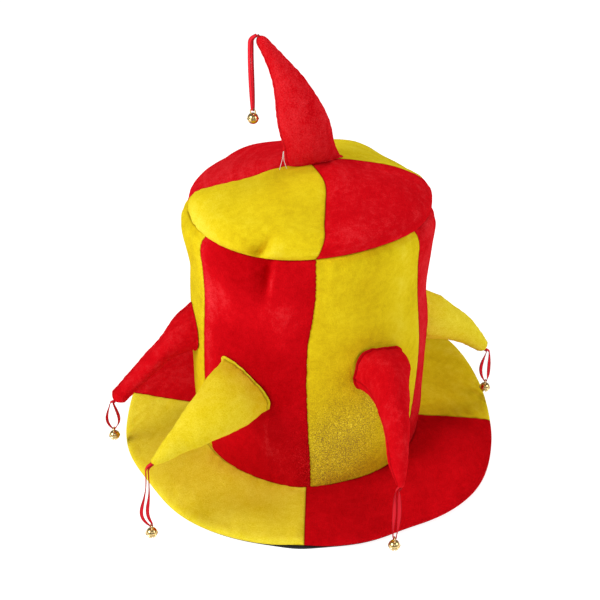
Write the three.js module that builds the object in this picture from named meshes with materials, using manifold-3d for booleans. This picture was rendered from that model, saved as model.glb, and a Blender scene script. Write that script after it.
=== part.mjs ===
// Clown hat: a plush hat in red and yellow, with seven stuffed horns that each carry a bell on a ribbon.
// Millimetres, +Z up. The origin is on the surface that the hat stands on, under the middle of the crown.
// The front faces -Y. Angles are in degrees from the front, positive towards +X, going round the crown.
import * as THREE from 'three';
import { mergeVertices } from 'three/addons/utils/BufferGeometryUtils.js';
import Module from 'manifold-3d';

const wasm = await Module();
wasm.setup();

// Driving dimensions
const GAP = 0.3;
const CLOTH = 2.4;
const FACING_THICK = 1.2;
const BRIM_THICK = 6;
const BRIM_EDGE_RISE = 1.8;
const BRIM_HALF_WIDTH = 164;
const BRIM_HALF_DEPTH = 169.5;
const BRIM_SQUARENESS = 2.12;
const HEAD_RADIUS = 94.5;
const CROWN_TOP = 220;
const CROWN_FOOT = FACING_THICK + GAP + BRIM_THICK + GAP;
const CROWN_SEAM_DEPTH = 1.8;
const CAP_HOLE = 1.6;
const CAP_EDGE_SHARE = 0.1;
const CAP_TOP_SHARE = 0.5;
const HORN_SEAT_GAP = 0.5;
const HORN_CLEARANCE = 20;
const RIBBON_WIDTH = 3.2;
const RIBBON_THICK = 0.5;
const RIBBON_GATHER = 0.45;
const LOOP_END_SPREAD = 0.8;
const LOOP_BEND = 1.2;
const LOOP_RUN_SHARE = 0.14;
const LOOP_FALL = 1.25;
const LOOP_FULLNESS = 0.8;
const BELL_RADIUS = 4.6;
const BELL_WALL = 0.6;
const BELL_SEAM = 0.4;
const BELL_HOLE_ANGLE = 75;
const SLOT_WIDTH = 1.2;
const SLOT_TOP = -1.3;
const EYE_RADIUS = 2.4;
const EYE_WIRE = 0.55;
const EYE_HEIGHT = BELL_RADIUS + 0.9;
const EYE_ROOM = 1.05;

// How finely the surfaces are divided
const CROWN_COLUMNS = 8;
const CROWN_ROWS = 10;
const CAP_COLUMNS = 8;
const CAP_ROWS = 9;
const BRIM_COLUMNS = 9;
const BRIM_ROWS = 5;
const HORN_SIDES = 12;
const LOOP_STEPS = 10;
const BELL_SIDES = 10;

// Colours of the cloths and the metal
const RED = { color: 0xd01420, roughness: 0.9, metalness: 0 };
const YELLOW = { color: 0xe6c81e, roughness: 0.9, metalness: 0 };
const BLACK = { color: 0x17171a, roughness: 0.9, metalness: 0 };
const SATIN = { color: 0xc4101e, roughness: 0.4, metalness: 0 };
const GOLD = { color: 0xd9a93a, roughness: 0.25, metalness: 1 };

// Crown: outer radius in the middle of a panel, up the side
const CROWN_PROFILE = [
  { height: CROWN_FOOT, radius: 97.4 },
  { height: 30, radius: 99.6 },
  { height: 70, radius: 101.4 },
  { height: 115, radius: 101.2 },
  { height: 160, radius: 99.6 },
  { height: 190, radius: 101 },
  { height: 207, radius: 102.8 },
  { height: 215, radius: 101.4 },
  { height: CROWN_TOP, radius: 97.6 },
];

// Three of the crown's seams wander sideways on their way up, in degrees
const CROWN_SEAM_SHIFT = [
  { height: CROWN_FOOT, front: 0.8, right: -0.8, left: -1.7 },
  { height: 30, front: 0.5, right: 0.9, left: -1.7 },
  { height: 60, front: -0.6, right: 3.4, left: -1.7 },
  { height: 90, front: -1.5, right: 6.4, left: -1.6 },
  { height: 115, front: -1.8, right: 7.2, left: -1.3 },
  { height: 145, front: -1.2, right: 5.4, left: -0.8 },
  { height: 165, front: 0.6, right: 3.4, left: -0.3 },
  { height: 190, front: 2.3, right: 0.7, left: 0.9 },
  { height: CROWN_TOP, front: 2.5, right: -2.2, left: 2.2 },
];

// The crown's top edge stands higher at the front right
const TOP_RISE = { angle: 33, halfAngle: 40, rise: 6.5, start: 120 };

// Soft dents in the crown: where each one is, how far it reaches each way, and how deep it goes
const CROWN_DENTS = [
  { angle: -21, height: 206, halfAngle: 5, halfHeight: 20, depth: 4, slant: 0.08 },
  { angle: -92, height: 203, halfAngle: 26, halfHeight: 22, depth: -3.4, slant: 0 },
  { angle: -47, height: 175, halfAngle: 8, halfHeight: 55, depth: 2.4, slant: 0.05 },
  { angle: 38, height: 188, halfAngle: 14, halfHeight: 26, depth: 2.2, slant: 0.15 },
  { angle: 14, height: 62, halfAngle: 9, halfHeight: 38, depth: 2.6, slant: -0.1 },
  { angle: -12, height: 45, halfAngle: 7, halfHeight: 30, depth: 2, slant: 0.12 },
  { angle: 150, height: 180, halfAngle: 12, halfHeight: 34, depth: 2.8, slant: -0.1 },
  { angle: -152, height: 172, halfAngle: 9, halfHeight: 40, depth: 2.6, slant: 0.1 },
  { angle: -6, height: 6, halfAngle: 16, halfHeight: 16, depth: -4.4, slant: 0 },
];

const CROWN_PANELS = [
  { name: 'crown_front_left', from: -60, to: 0, cloth: RED },
  { name: 'crown_front_right', from: 0, to: 60, cloth: YELLOW },
  { name: 'crown_right', from: 60, to: 120, cloth: RED },
  { name: 'crown_back_right', from: 120, to: 180, cloth: YELLOW },
  { name: 'crown_back_left', from: -180, to: -120, cloth: RED },
  { name: 'crown_left', from: -120, to: -60, cloth: YELLOW },
];

// Cap: from its edge seam to its middle, the outline along a seam and along the middle of a panel
const CAP_PROFILE = [
  { share: 0, seamRadius: 97.4, seamRise: 0, crestRadius: 97.6, crestRise: 0 },
  { share: 0.1, seamRadius: 98.6, seamRise: 5, crestRadius: 100.8, crestRise: 5 },
  { share: 0.22, seamRadius: 97, seamRise: 11.5, crestRadius: 100.8, crestRise: 12.5 },
  { share: 0.36, seamRadius: 90, seamRise: 17, crestRadius: 93.5, crestRise: 21.5 },
  { share: 0.52, seamRadius: 74, seamRise: 21, crestRadius: 75.5, crestRise: 27.5 },
  { share: 0.7, seamRadius: 50, seamRise: 26, crestRadius: 51, crestRise: 32 },
  { share: 0.85, seamRadius: 27, seamRise: 34, crestRadius: 27, crestRise: 36.5 },
  { share: 1, seamRadius: CAP_HOLE, seamRise: 38.5, crestRadius: CAP_HOLE, crestRise: 39 },
];

// Creases that run up from the cap's edge
const CAP_DENTS = [
  { angle: -24, share: 0.2, halfAngle: 5, halfShare: 0.2, depth: 4.5 },
  { angle: -62, share: 0.3, halfAngle: 9, halfShare: 0.25, depth: 3 },
  { angle: 52, share: 0.28, halfAngle: 10, halfShare: 0.2, depth: 2.5 },
  { angle: 140, share: 0.3, halfAngle: 9, halfShare: 0.25, depth: 3 },
  { angle: 128, share: 0.34, halfAngle: 24, halfShare: 0.2, depth: 7 },
  { angle: -125, share: 0.38, halfAngle: 34, halfShare: 0.25, depth: 4.5 },
];

// The cap's front and right seams wander sideways on their way in, in degrees
const CAP_SEAM_SHIFT = [
  { share: 0, front: -1.5, right: -10 },
  { share: 0.36, front: 3, right: -8 },
  { share: 0.52, front: 4.5, right: -3 },
  { share: 0.7, front: 10, right: 4 },
  { share: 0.85, front: 20, right: 10 },
  { share: 1, front: 24, right: 12 },
];

// Cap panels: the seams' angles, and how far the panel swells between them
const CAP_PANELS = [
  { name: 'cap_front_left', from: -86, to: 4, swell: 1, cloth: YELLOW },
  { name: 'cap_front_right', from: 4, to: 107, swell: 1, cloth: RED },
  { name: 'cap_back_right', from: 107, to: 184, swell: 0.85, cloth: YELLOW },
  { name: 'cap_back_left', from: 184, to: 274, swell: 0.7, cloth: RED },
];

// The right seam of the cap lies nearly as high as the panels beside it
const CAP_SHALLOW = { angle: 107, halfAngle: 26, share: 0.85 };

const BRIM_PANELS = [
  { name: 'brim_front_left', from: -100, to: -1.5, cloth: YELLOW },
  { name: 'brim_front_right', from: -1.5, to: 90, cloth: RED },
  { name: 'brim_back_right', from: 90, to: 180, cloth: YELLOW },
  { name: 'brim_back_left', from: -180, to: -100, cloth: RED },
];

// The brim's edge strays from an even oval
const BRIM_DENTS = [
  { angle: -56, halfAngle: 15, depth: 6 },
  { angle: 28, halfAngle: 9, depth: 3.5 },
  { angle: 55, halfAngle: 14, depth: -3 },
];

// The brim's right and left seams run slantwise from the crown to the edge, in degrees
const BRIM_SEAM_SHIFT = [
  { share: 0, right: 2.2, left: -2.6 },
  { share: 1, right: -2.2, left: -0.2 },
];

// The brim lies flat in front and its edge turns up behind
const BRIM_LIFT = [
  { angle: 0, lift: 0 },
  { angle: 86, lift: 0 },
  { angle: 105, lift: 8 },
  { angle: 128, lift: 19 },
  { angle: 155, lift: 15 },
  { angle: 180, lift: 12 },
];

// Brim padding across its width: thickness as a share of the full padding
const BRIM_PADDING = [
  { share: 0, thick: 0.9 },
  { share: 0.25, thick: 1 },
  { share: 0.6, thick: 1.08 },
  { share: 0.88, thick: 1 },
  { share: 1, thick: 0.3 },
];

// The front seam pulls the brim's edge in, so that the facing peeps out there
const BRIM_PULL = { angle: -3, halfAngle: 6, depth: 2 };
const FACING_INSET = 3;

// Horn taper from base to tip, as shares of the base's half sizes
const HORN_TAPER = [
  { share: 0, wide: 1, thin: 1 },
  { share: 0.1, wide: 1.03, thin: 1.06 },
  { share: 0.24, wide: 1, thin: 1.08 },
  { share: 0.4, wide: 0.85, thin: 0.96 },
  { share: 0.57, wide: 0.64, thin: 0.76 },
  { share: 0.73, wide: 0.43, thin: 0.56 },
  { share: 0.87, wide: 0.26, thin: 0.38 },
  { share: 0.96, wide: 0.16, thin: 0.26 },
];

const PINCH_END = 0.8;

// Horns: the seat, the base's half sizes and turn, how much narrower its middle is pinched, how far it
// leads straight out, its bend and its tip. A horn with no height sits on the cap, off its middle.
const HORNS = [
  { place: 'top', cloth: RED, angle: 0, height: null, offset: [0, 6], wide: 20.5, thin: 16, roll: 28,
    pinch: 0, lead: 40, bend: [-20, 2, 336], tip: [-39.5, 0, 364] },
  { place: 'front_left', cloth: YELLOW, angle: -31, height: 101, wide: 25.7, thin: 13.4, roll: -38,
    pinch: 0.06, lead: 31.5, bend: [-86, -130, 95], tip: [-121.5, -159.5, 78.5] },
  { place: 'front_right', cloth: RED, angle: 32.3, height: 117, wide: 19.8, thin: 18.3, roll: 10,
    pinch: 0.24, lead: 25, bend: [62.5, -172, 126], tip: [69, -173, 67] },
  { place: 'right', cloth: YELLOW, angle: 95, height: 111, wide: 22.2, thin: 14, roll: 65,
    pinch: 0.2, lead: 4.5, bend: [138.5, 23.5, 87.5], tip: [158, 24.5, 64] },
  { place: 'back_right', cloth: RED, angle: 150, height: 107, wide: 25, thin: 13, roll: 40,
    pinch: 0.06, lead: 36, bend: [94, 142, 100], tip: [112, 156, 72] },
  { place: 'back_left', cloth: YELLOW, angle: -150, height: 107, wide: 25, thin: 14, roll: -35,
    pinch: 0, lead: 38, bend: [-80, 156, 102], tip: [-86, 173, 70] },
  { place: 'left', cloth: RED, angle: -78, height: 116, wide: 20, thin: 19.5, roll: 105,
    pinch: 0.42, lead: 6.7, bend: [-135, -15, 78.5], tip: [-167, -42, 54] },
];

// Ribbon loops: the room left at the horn's tip, the drop to the bell's middle, the sideways run off
// the tip, the loop's opening, its direction and how late it comes, and how far the ribbon sways and twists
const LOOPS = [
  { place: 'top', start: 1.3, drop: 68, runX: -4.5, runY: 0,
    open: 2, angle: 150, late: 0.6, sway: -0.8, twist: 20 },
  { place: 'front_left', start: 0.85, drop: 67, runX: -3.5, runY: -1.5,
    open: 2.5, angle: 105, late: 3, sway: -4.5, twist: 80 },
  { place: 'front_right', start: 0.85, drop: 57, runX: -2.6, runY: -1,
    open: 1.8, angle: 95, late: 1, sway: 0.8, twist: 88 },
  { place: 'right', start: 0.85, drop: 41, runX: 3, runY: 0,
    open: 4.8, angle: 80, late: 1.5, sway: -1.5, twist: 70 },
  { place: 'back_right', start: 0.85, drop: 48, runX: 2, runY: 2,
    open: 4, angle: 60, late: 1.6, sway: -1, twist: 40 },
  { place: 'back_left', start: 0.85, drop: 50, runX: -1, runY: 2,
    open: 4, angle: 120, late: 2.2, sway: 1.5, twist: 40 },
  { place: 'left', start: 1.05, drop: 36, runX: -2, runY: 1,
    open: 8, angle: 90, late: 1.6, sway: 0, twist: 35 },
];

const radians = THREE.MathUtils.degToRad;

// Smooth reading of one column of a table at a place along another column
function read(rows, along, column, place) {
  const last = rows.length - 1;
  let row = 0;
  while (row < last - 1 && place > rows[row + 1][along]) row += 1;
  const slope = (index) => {
    const before = rows[Math.max(index - 1, 0)];
    const after = rows[Math.min(index + 1, last)];
    return (after[column] - before[column]) / (after[along] - before[along]);
  };
  const span = rows[row + 1][along] - rows[row][along];
  const t = THREE.MathUtils.clamp((place - rows[row][along]) / span, 0, 1);
  const rise = rows[row + 1][column] - rows[row][column];
  const start = slope(row) * span;
  const end = slope(row + 1) * span;
  const curve = start * t + (3 * rise - 2 * start - end) * t * t + (start + end - 2 * rise) * t ** 3;
  return rows[row][column] + curve;
}

// Point at an angle round the crown, a radius from its axis and a height
function polar(angle, radius, height) {
  return new THREE.Vector3(radius * Math.sin(radians(angle)), -radius * Math.cos(radians(angle)), height);
}

// Shortest signed difference between two angles
function turn(angle, from) {
  return THREE.MathUtils.euclideanModulo(angle - from + 180, 360) - 180;
}

const hump = (x) => Math.exp(-x * x);

// How far a panel stands out at a share of its width: 0 on a seam and 1 in the middle
const puff = (across) => Math.sqrt(Math.max(Math.sin(Math.PI * across), 0));

// How much of a seam's wandering the cloth at an angle shares: all on the seam, none a quarter turn away
const nearSeam = (angle, seam) => Math.max(Math.cos(radians(angle - seam)), 0) ** 4;
const seamShift = (angle, height) => {
  const front = read(CROWN_SEAM_SHIFT, 'height', 'front', height) * nearSeam(angle, 0);
  const right = read(CROWN_SEAM_SHIFT, 'height', 'right', height) * nearSeam(angle, 60);
  return front + right + read(CROWN_SEAM_SHIFT, 'height', 'left', height) * nearSeam(angle, -60);
};
const capShift = (angle, share) => {
  const front = read(CAP_SEAM_SHIFT, 'share', 'front', share) * nearSeam(angle, CAP_PANELS[0].to);
  return front + read(CAP_SEAM_SHIFT, 'share', 'right', share) * nearSeam(angle, CAP_PANELS[1].to);
};
const topRise = (angle) => TOP_RISE.rise * hump(turn(angle, TOP_RISE.angle) / TOP_RISE.halfAngle);

// Height on the crown's plain profile, before its top edge was raised
function plainHeight(angle, height) {
  const upper = (height - TOP_RISE.start) / (CROWN_TOP + topRise(angle) - TOP_RISE.start);
  return height - topRise(angle) * THREE.MathUtils.clamp(upper, 0, 1) ** 2;
}

// Outer radius of the crown, with its panels' swell and its dents
function crownRadius(angle, height) {
  const sewn = angle - seamShift(angle, height);
  let radius = read(CROWN_PROFILE, 'height', 'radius', plainHeight(angle, height));
  radius -= CROWN_SEAM_DEPTH * (1 - puff(THREE.MathUtils.euclideanModulo(sewn, 60) / 60));
  for (const dent of CROWN_DENTS) {
    const rise = height - dent.height;
    const aside = turn(angle, dent.angle) - dent.slant * rise;
    radius -= dent.depth * hump(aside / dent.halfAngle) * hump(rise / dent.halfHeight);
  }
  return radius;
}

// Share of a panel's width at an angle, over 1 outside the panel
function shareOf(panel, angle) {
  return THREE.MathUtils.euclideanModulo(angle - panel.from, 360) / (panel.to - panel.from);
}

// Place on the cap at a sewing angle and a share of the way from its edge to its middle
function capOutline(sewn, share) {
  const panel = CAP_PANELS.find((entry) => shareOf(entry, sewn) <= 1);
  const shallow = CAP_SHALLOW.share * hump(turn(sewn, CAP_SHALLOW.angle) / CAP_SHALLOW.halfAngle);
  const swell = Math.max(panel.swell * puff(shareOf(panel, sewn)), shallow);
  const mix = (seam, crest) => THREE.MathUtils.lerp(
    read(CAP_PROFILE, 'share', seam, share), read(CAP_PROFILE, 'share', crest, share), swell);
  let sink = 0;
  for (const dent of CAP_DENTS) {
    const aside = turn(sewn, dent.angle) / dent.halfAngle;
    sink += dent.depth * hump(aside) * hump((share - dent.share) / dent.halfShare);
  }
  const edge = Math.min(share / CAP_EDGE_SHARE, 1);
  const angle = sewn + capShift(sewn, share);
  const seat = CROWN_TOP + GAP + topRise(angle) * (1 - share) ** 2;
  return {
    angle,
    radius: mix('seamRadius', 'crestRadius') - sink * edge * (1 - share),
    height: seat + mix('seamRise', 'crestRise') - sink * edge * share,
  };
}

// Height of the cap's top over a place near its middle
function capHeight(x, y) {
  const angle = THREE.MathUtils.radToDeg(Math.atan2(x, -y));
  const radius = Math.hypot(x, y);
  const sewnAt = (share) => {
    let sewn = angle;
    for (let step = 0; step < 8; step += 1) sewn = angle - capShift(sewn, share);
    return sewn;
  };
  let low = 0.3;
  let high = 1;
  for (let step = 0; step < 24; step += 1) {
    const middle = (low + high) / 2;
    if (capOutline(sewnAt(middle), middle).radius > radius) low = middle;
    else high = middle;
  }
  return capOutline(sewnAt(low), low).height;
}

function brimEdge(angle) {
  const sideways = Math.abs(Math.sin(radians(angle)) / BRIM_HALF_WIDTH) ** BRIM_SQUARENESS;
  const lengthways = Math.abs(Math.cos(radians(angle)) / BRIM_HALF_DEPTH) ** BRIM_SQUARENESS;
  let radius = (sideways + lengthways) ** (-1 / BRIM_SQUARENESS);
  for (const dent of BRIM_DENTS) radius -= dent.depth * hump(turn(angle, dent.angle) / dent.halfAngle);
  return radius;
}

const brimShift = (angle, share) => {
  const right = read(BRIM_SEAM_SHIFT, 'share', 'right', share) * nearSeam(angle, BRIM_PANELS[1].to);
  return right + read(BRIM_SEAM_SHIFT, 'share', 'left', share) * nearSeam(angle, BRIM_PANELS[0].from);
};

const brimLift = (angle, share) => {
  const lift = read(BRIM_LIFT, 'angle', 'lift', Math.abs(turn(angle, 0)));
  return Math.max(lift, 0) * share ** 2;
};
const brimPull = (angle) => BRIM_PULL.depth * hump(turn(angle, BRIM_PULL.angle) / BRIM_PULL.halfAngle);

// Triangles for a grid of points, row by row
function gridFaces(faces, columns, rows, first, wrap, flip) {
  const perRow = wrap ? columns : columns + 1;
  for (let row = 0; row < rows; row += 1) {
    for (let column = 0; column < columns; column += 1) {
      const next = wrap ? (column + 1) % columns : column + 1;
      const a = first + row * perRow + column;
      const b = first + row * perRow + next;
      const c = first + (row + 1) * perRow + next;
      const d = first + (row + 1) * perRow + column;
      if (flip) faces.push(a, c, b, a, d, c);
      else faces.push(a, b, c, a, c, d);
    }
  }
}

function toGeometry(points, faces) {
  const geometry = new THREE.BufferGeometry();
  geometry.setAttribute('position', new THREE.Float32BufferAttribute(points.flatMap((p) => p.toArray()), 3));
  geometry.setIndex(faces);
  geometry.computeVertexNormals();
  return geometry;
}

// A wall of cloth: an outside and an inside, each a function of two shares, joined round the edges
function wall(outside, inside, columns, rows, wrap = false) {
  const perRow = wrap ? columns : columns + 1;
  const points = [];
  const faces = [];
  for (const side of [outside, inside]) {
    for (let row = 0; row <= rows; row += 1) {
      for (let column = 0; column < perRow; column += 1) points.push(side(column / columns, row / rows));
    }
  }
  const inner = perRow * (rows + 1);
  gridFaces(faces, columns, rows, 0, wrap, false);
  gridFaces(faces, columns, rows, inner, wrap, true);
  const join = (a, b) => faces.push(a, inner + a, inner + b, a, inner + b, b);
  for (let column = 0; column < columns; column += 1) {
    const next = wrap ? (column + 1) % columns : column + 1;
    join(column, next);
    join(rows * perRow + next, rows * perRow + column);
  }
  if (!wrap) {
    for (let row = 0; row < rows; row += 1) {
      join((row + 1) * perRow, row * perRow);
      join(row * perRow + columns, (row + 1) * perRow + columns);
    }
  }
  return toGeometry(points, faces);
}

// A body through rings of points, closed at each end on a middle point
function loft(rings, start, end) {
  const sides = rings[0].length;
  const points = [start, ...rings.flat(), end];
  const faces = [];
  const last = 1 + (rings.length - 1) * sides;
  gridFaces(faces, sides, rings.length - 1, 1, true, false);
  for (let side = 0; side < sides; side += 1) {
    const next = (side + 1) % sides;
    faces.push(0, 1 + next, 1 + side);
    faces.push(points.length - 1, last + side, last + next);
  }
  return toGeometry(points, faces);
}

function piece(name, geometry, cloth) {
  const mesh = new THREE.Mesh(geometry, new THREE.MeshStandardMaterial(cloth));
  mesh.name = name;
  return mesh;
}

// Angle at a share of a panel's width, with half the gap kept at each seam
function panelAngle(panel, share, radius) {
  const margin = THREE.MathUtils.radToDeg(Math.asin(GAP / 2 / radius));
  return THREE.MathUtils.lerp(panel.from + margin, panel.to - margin, share);
}

function crownPanel(panel) {
  const point = (across, up, depth) => {
    const sewn = panelAngle(panel, across, HEAD_RADIUS);
    const top = CROWN_TOP + topRise(sewn + seamShift(sewn, CROWN_TOP));
    const height = THREE.MathUtils.lerp(CROWN_FOOT, top, up);
    const angle = sewn + seamShift(sewn, height);
    return polar(angle, crownRadius(angle, height) - depth, height);
  };
  return wall((u, v) => point(u, v, 0), (u, v) => point(u, v, CLOTH), CROWN_COLUMNS, CROWN_ROWS);
}

// The inside of a cap panel lies a cloth's thickness along the way inwards and down
function capPanel(panel) {
  const point = (across, share, depth) => {
    const rough = capOutline((panel.from + panel.to) / 2, share).radius;
    const outline = capOutline(panelAngle(panel, across, rough), share);
    const lean = (Math.PI / 2) * Math.min(share / CAP_TOP_SHARE, 1);
    const inwards = Math.min(depth * Math.cos(lean), outline.radius - CAP_HOLE);
    return polar(outline.angle, outline.radius - inwards, outline.height - depth * Math.sin(lean));
  };
  return wall((u, v) => point(u, v, 0), (u, v) => point(u, v, CLOTH), CAP_COLUMNS, CAP_ROWS);
}

// Padded brim panel: its outer edge is rolled, so its underside comes up there
function brimPanel(panel) {
  const seat = FACING_THICK + GAP;
  const point = (across, out, top) => {
    const sewn = panelAngle(panel, across, HEAD_RADIUS);
    const angle = sewn + brimShift(sewn, out);
    const radius = THREE.MathUtils.lerp(HEAD_RADIUS, brimEdge(angle) - brimPull(angle), out);
    const underside = seat + brimLift(angle, out) + BRIM_EDGE_RISE * out ** 8;
    const thick = BRIM_THICK * read(BRIM_PADDING, 'share', 'thick', out);
    return polar(angle, radius, underside + (top ? thick : 0));
  };
  return wall((u, v) => point(u, v, false), (u, v) => point(u, v, true), BRIM_COLUMNS, BRIM_ROWS);
}

// The facing has the same columns as the panels above it, so that the two lie evenly on each other
function brimFacing() {
  const angleAt = (round) => {
    const place = round * BRIM_PANELS.length;
    const panel = BRIM_PANELS[Math.min(Math.floor(place), BRIM_PANELS.length - 1)];
    return THREE.MathUtils.lerp(panel.from, panel.to, place - BRIM_PANELS.indexOf(panel));
  };
  const point = (round, row, thick) => {
    const sewn = angleAt(round);
    const angle = sewn + brimShift(sewn, row);
    const edge = brimEdge(angle);
    const inset = FACING_INSET - brimPull(angle);
    const radius = Math.min(THREE.MathUtils.lerp(HEAD_RADIUS, edge, row), edge - inset);
    const share = (radius - HEAD_RADIUS) / (edge - HEAD_RADIUS);
    return polar(angle, radius, brimLift(angle, share) + thick);
  };
  const columns = BRIM_COLUMNS * BRIM_PANELS.length;
  return wall((u, v) => point(u, v, 0), (u, v) => point(u, v, FACING_THICK), columns, BRIM_ROWS, true);
}

// Where a horn is sewn on: its seat on the crown or the cap, and how points keep clear of the cloth there
function hornSeat(horn) {
  if (horn.height === null) {
    const [x, y] = horn.offset;
    return {
      normal: new THREE.Vector3(0, 0, 1),
      side: new THREE.Vector3(1, 0, 0),
      up: new THREE.Vector3(0, 1, 0),
      place: (aside, back) => new THREE.Vector3(
        x + aside, y + back, capHeight(x + aside, y + back) + HORN_SEAT_GAP),
      clear: (point, room) => point.setZ(Math.max(point.z, capHeight(point.x, point.y) + room)),
    };
  }
  const reach = crownRadius(horn.angle, horn.height);
  return {
    normal: polar(horn.angle, 1, 0),
    side: polar(horn.angle + 90, 1, 0),
    up: new THREE.Vector3(0, 0, 1),
    place: (aside, upwards) => {
      const angle = horn.angle + THREE.MathUtils.radToDeg(aside / reach);
      const height = horn.height + upwards;
      return polar(angle, crownRadius(angle, height) + HORN_SEAT_GAP, height);
    },
    clear: (point, room) => {
      const angle = THREE.MathUtils.radToDeg(Math.atan2(point.x, -point.y));
      const radius = Math.hypot(point.x, point.y);
      const least = crownRadius(angle, point.z) + room;
      return radius < least ? polar(angle, least, point.z) : point;
    },
  };
}

function hornSpine(horn) {
  const seat = hornSeat(horn);
  const base = seat.place(0, 0);
  const lead = base.clone().addScaledVector(seat.normal, horn.lead);
  const bend = new THREE.Vector3(...horn.bend);
  return new THREE.CubicBezierCurve3(base, lead, bend, new THREE.Vector3(...horn.tip));
}

// Stuffed horn: its base lies on the cloth, and its oval section shrinks along the spine to the tip
function hornBody(horn) {
  const seat = hornSeat(horn);
  const spine = hornSpine(horn);
  const roll = radians(horn.roll);
  const wideAxis = seat.side.clone().multiplyScalar(Math.cos(roll)).addScaledVector(seat.up, Math.sin(roll));
  const sides = Array.from({ length: HORN_SIDES }, (_, side) => (2 * Math.PI * side) / HORN_SIDES);
  const ring = (make) => sides.map(make);
  const baseRing = (scale) => ring((turned) => {
    const wide = scale * horn.wide * Math.cos(turned);
    const thin = scale * horn.thin * Math.sin(turned);
    const aside = wide * Math.cos(roll) - thin * Math.sin(roll);
    const upwards = wide * Math.sin(roll) + thin * Math.cos(roll);
    return seat.place(aside, upwards);
  });
  const rings = [baseRing(0.5), baseRing(1)];
  for (const row of HORN_TAPER.slice(1)) {
    const middle = spine.getPointAt(row.share);
    const along = spine.getTangentAt(row.share);
    const wide = wideAxis.clone().addScaledVector(along, -wideAxis.dot(along)).normalize();
    const thin = along.clone().cross(wide);
    const pinch = 1 - horn.pinch * Math.sin(Math.PI * Math.min(row.share / PINCH_END, 1));
    rings.push(ring((turned) => {
      const point = middle.clone()
        .addScaledVector(wide, horn.wide * row.wide * pinch * Math.cos(turned))
        .addScaledVector(thin, horn.thin * row.thin * Math.sin(turned));
      return seat.clear(point, HORN_SEAT_GAP + HORN_CLEARANCE * row.share);
    }));
  }
  return loft(rings, seat.place(0, 0), new THREE.Vector3(...horn.tip));
}

// Ribbon loop: down one side from the horn's tip, round through the bell's eye and up the other side
function loopPath(loop, horn) {
  const tip = new THREE.Vector3(...horn.tip).addScaledVector(hornSpine(horn).getTangentAt(1), loop.start);
  const aside = polar(loop.angle, 1, 0);
  const drop = loop.drop - EYE_HEIGHT - EYE_ROOM - LOOP_BEND;
  const opened = (share) => Math.max(Math.sin(Math.PI * share ** (LOOP_FALL * loop.late)), 0);
  const strand = (share, side) => {
    const run = 1 - (1 - Math.min(share / LOOP_RUN_SHARE, 1)) ** 2;
    const opening = (loop.open / 2) * opened(share) ** LOOP_FULLNESS;
    const spread = THREE.MathUtils.lerp(LOOP_END_SPREAD, LOOP_BEND, share) + opening;
    const sideways = loop.runX * run + loop.sway * opened(share);
    return new THREE.Vector3(sideways, loop.runY * run, -drop * share ** LOOP_FALL)
      .addScaledVector(aside, side * spread).add(tip);
  };
  const path = [];
  for (let step = 0; step <= LOOP_STEPS; step += 1) {
    const share = step / LOOP_STEPS;
    path.push({ point: strand(share, 1), share, side: 1 });
  }
  for (const bend of [45, 90, 135]) {
    const low = strand(1, 0).addScaledVector(aside, LOOP_BEND * Math.cos(radians(bend)));
    low.z -= LOOP_BEND * Math.sin(radians(bend));
    path.push({ point: low, share: 1, side: 0 });
  }
  for (let step = LOOP_STEPS; step >= 0; step -= 1) {
    const share = step / LOOP_STEPS;
    path.push({ point: strand(share, -1), share, side: -1 });
  }
  return { path, aside, opened, bell: strand(1, 0).setZ(tip.z - loop.drop) };
}

// The ribbon lies flat across its loop, twists where the loop is open and is gathered at the eye
function ribbon(loop, horn) {
  const { path, aside, opened } = loopPath(loop, horn);
  const flat = new THREE.Vector3(0, 0, 1).cross(aside);
  const rings = path.map(({ point, share, side }, index) => {
    const before = path[Math.max(index - 1, 0)].point;
    const after = path[Math.min(index + 1, path.length - 1)].point;
    const along = after.clone().sub(before).normalize();
    const turned = side * radians(loop.twist) * opened(share);
    const level = flat.clone().addScaledVector(along, -flat.dot(along)).normalize();
    const wide = level.applyAxisAngle(along, turned);
    const thin = along.clone().cross(wide);
    const halfWidth = (RIBBON_WIDTH / 2) * (1 - RIBBON_GATHER * share ** 6);
    return [[1, 1], [-1, 1], [-1, -1], [1, -1]].map(([across, through]) => point.clone()
      .addScaledVector(wide, across * halfWidth)
      .addScaledVector(thin, through * RIBBON_THICK / 2));
  });
  return loft(rings, path[0].point.clone(), path[path.length - 1].point.clone());
}

// Solid for joining and cutting, and back again
function solid(geometry) {
  const bare = geometry.clone();
  bare.deleteAttribute('normal');
  bare.deleteAttribute('uv');
  const merged = mergeVertices(bare, 1e-4);
  return new wasm.Manifold(new wasm.Mesh({
    numProp: 3,
    vertProperties: new Float32Array(merged.attributes.position.array),
    triVerts: new Uint32Array(merged.index.array),
  }));
}

function fromSolid(body) {
  const mesh = body.getMesh();
  const geometry = new THREE.BufferGeometry();
  geometry.setAttribute('position', new THREE.Float32BufferAttribute(mesh.vertProperties, 3));
  geometry.setIndex(new THREE.Uint32BufferAttribute(mesh.triVerts, 1));
  geometry.computeVertexNormals();
  return geometry;
}

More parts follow.
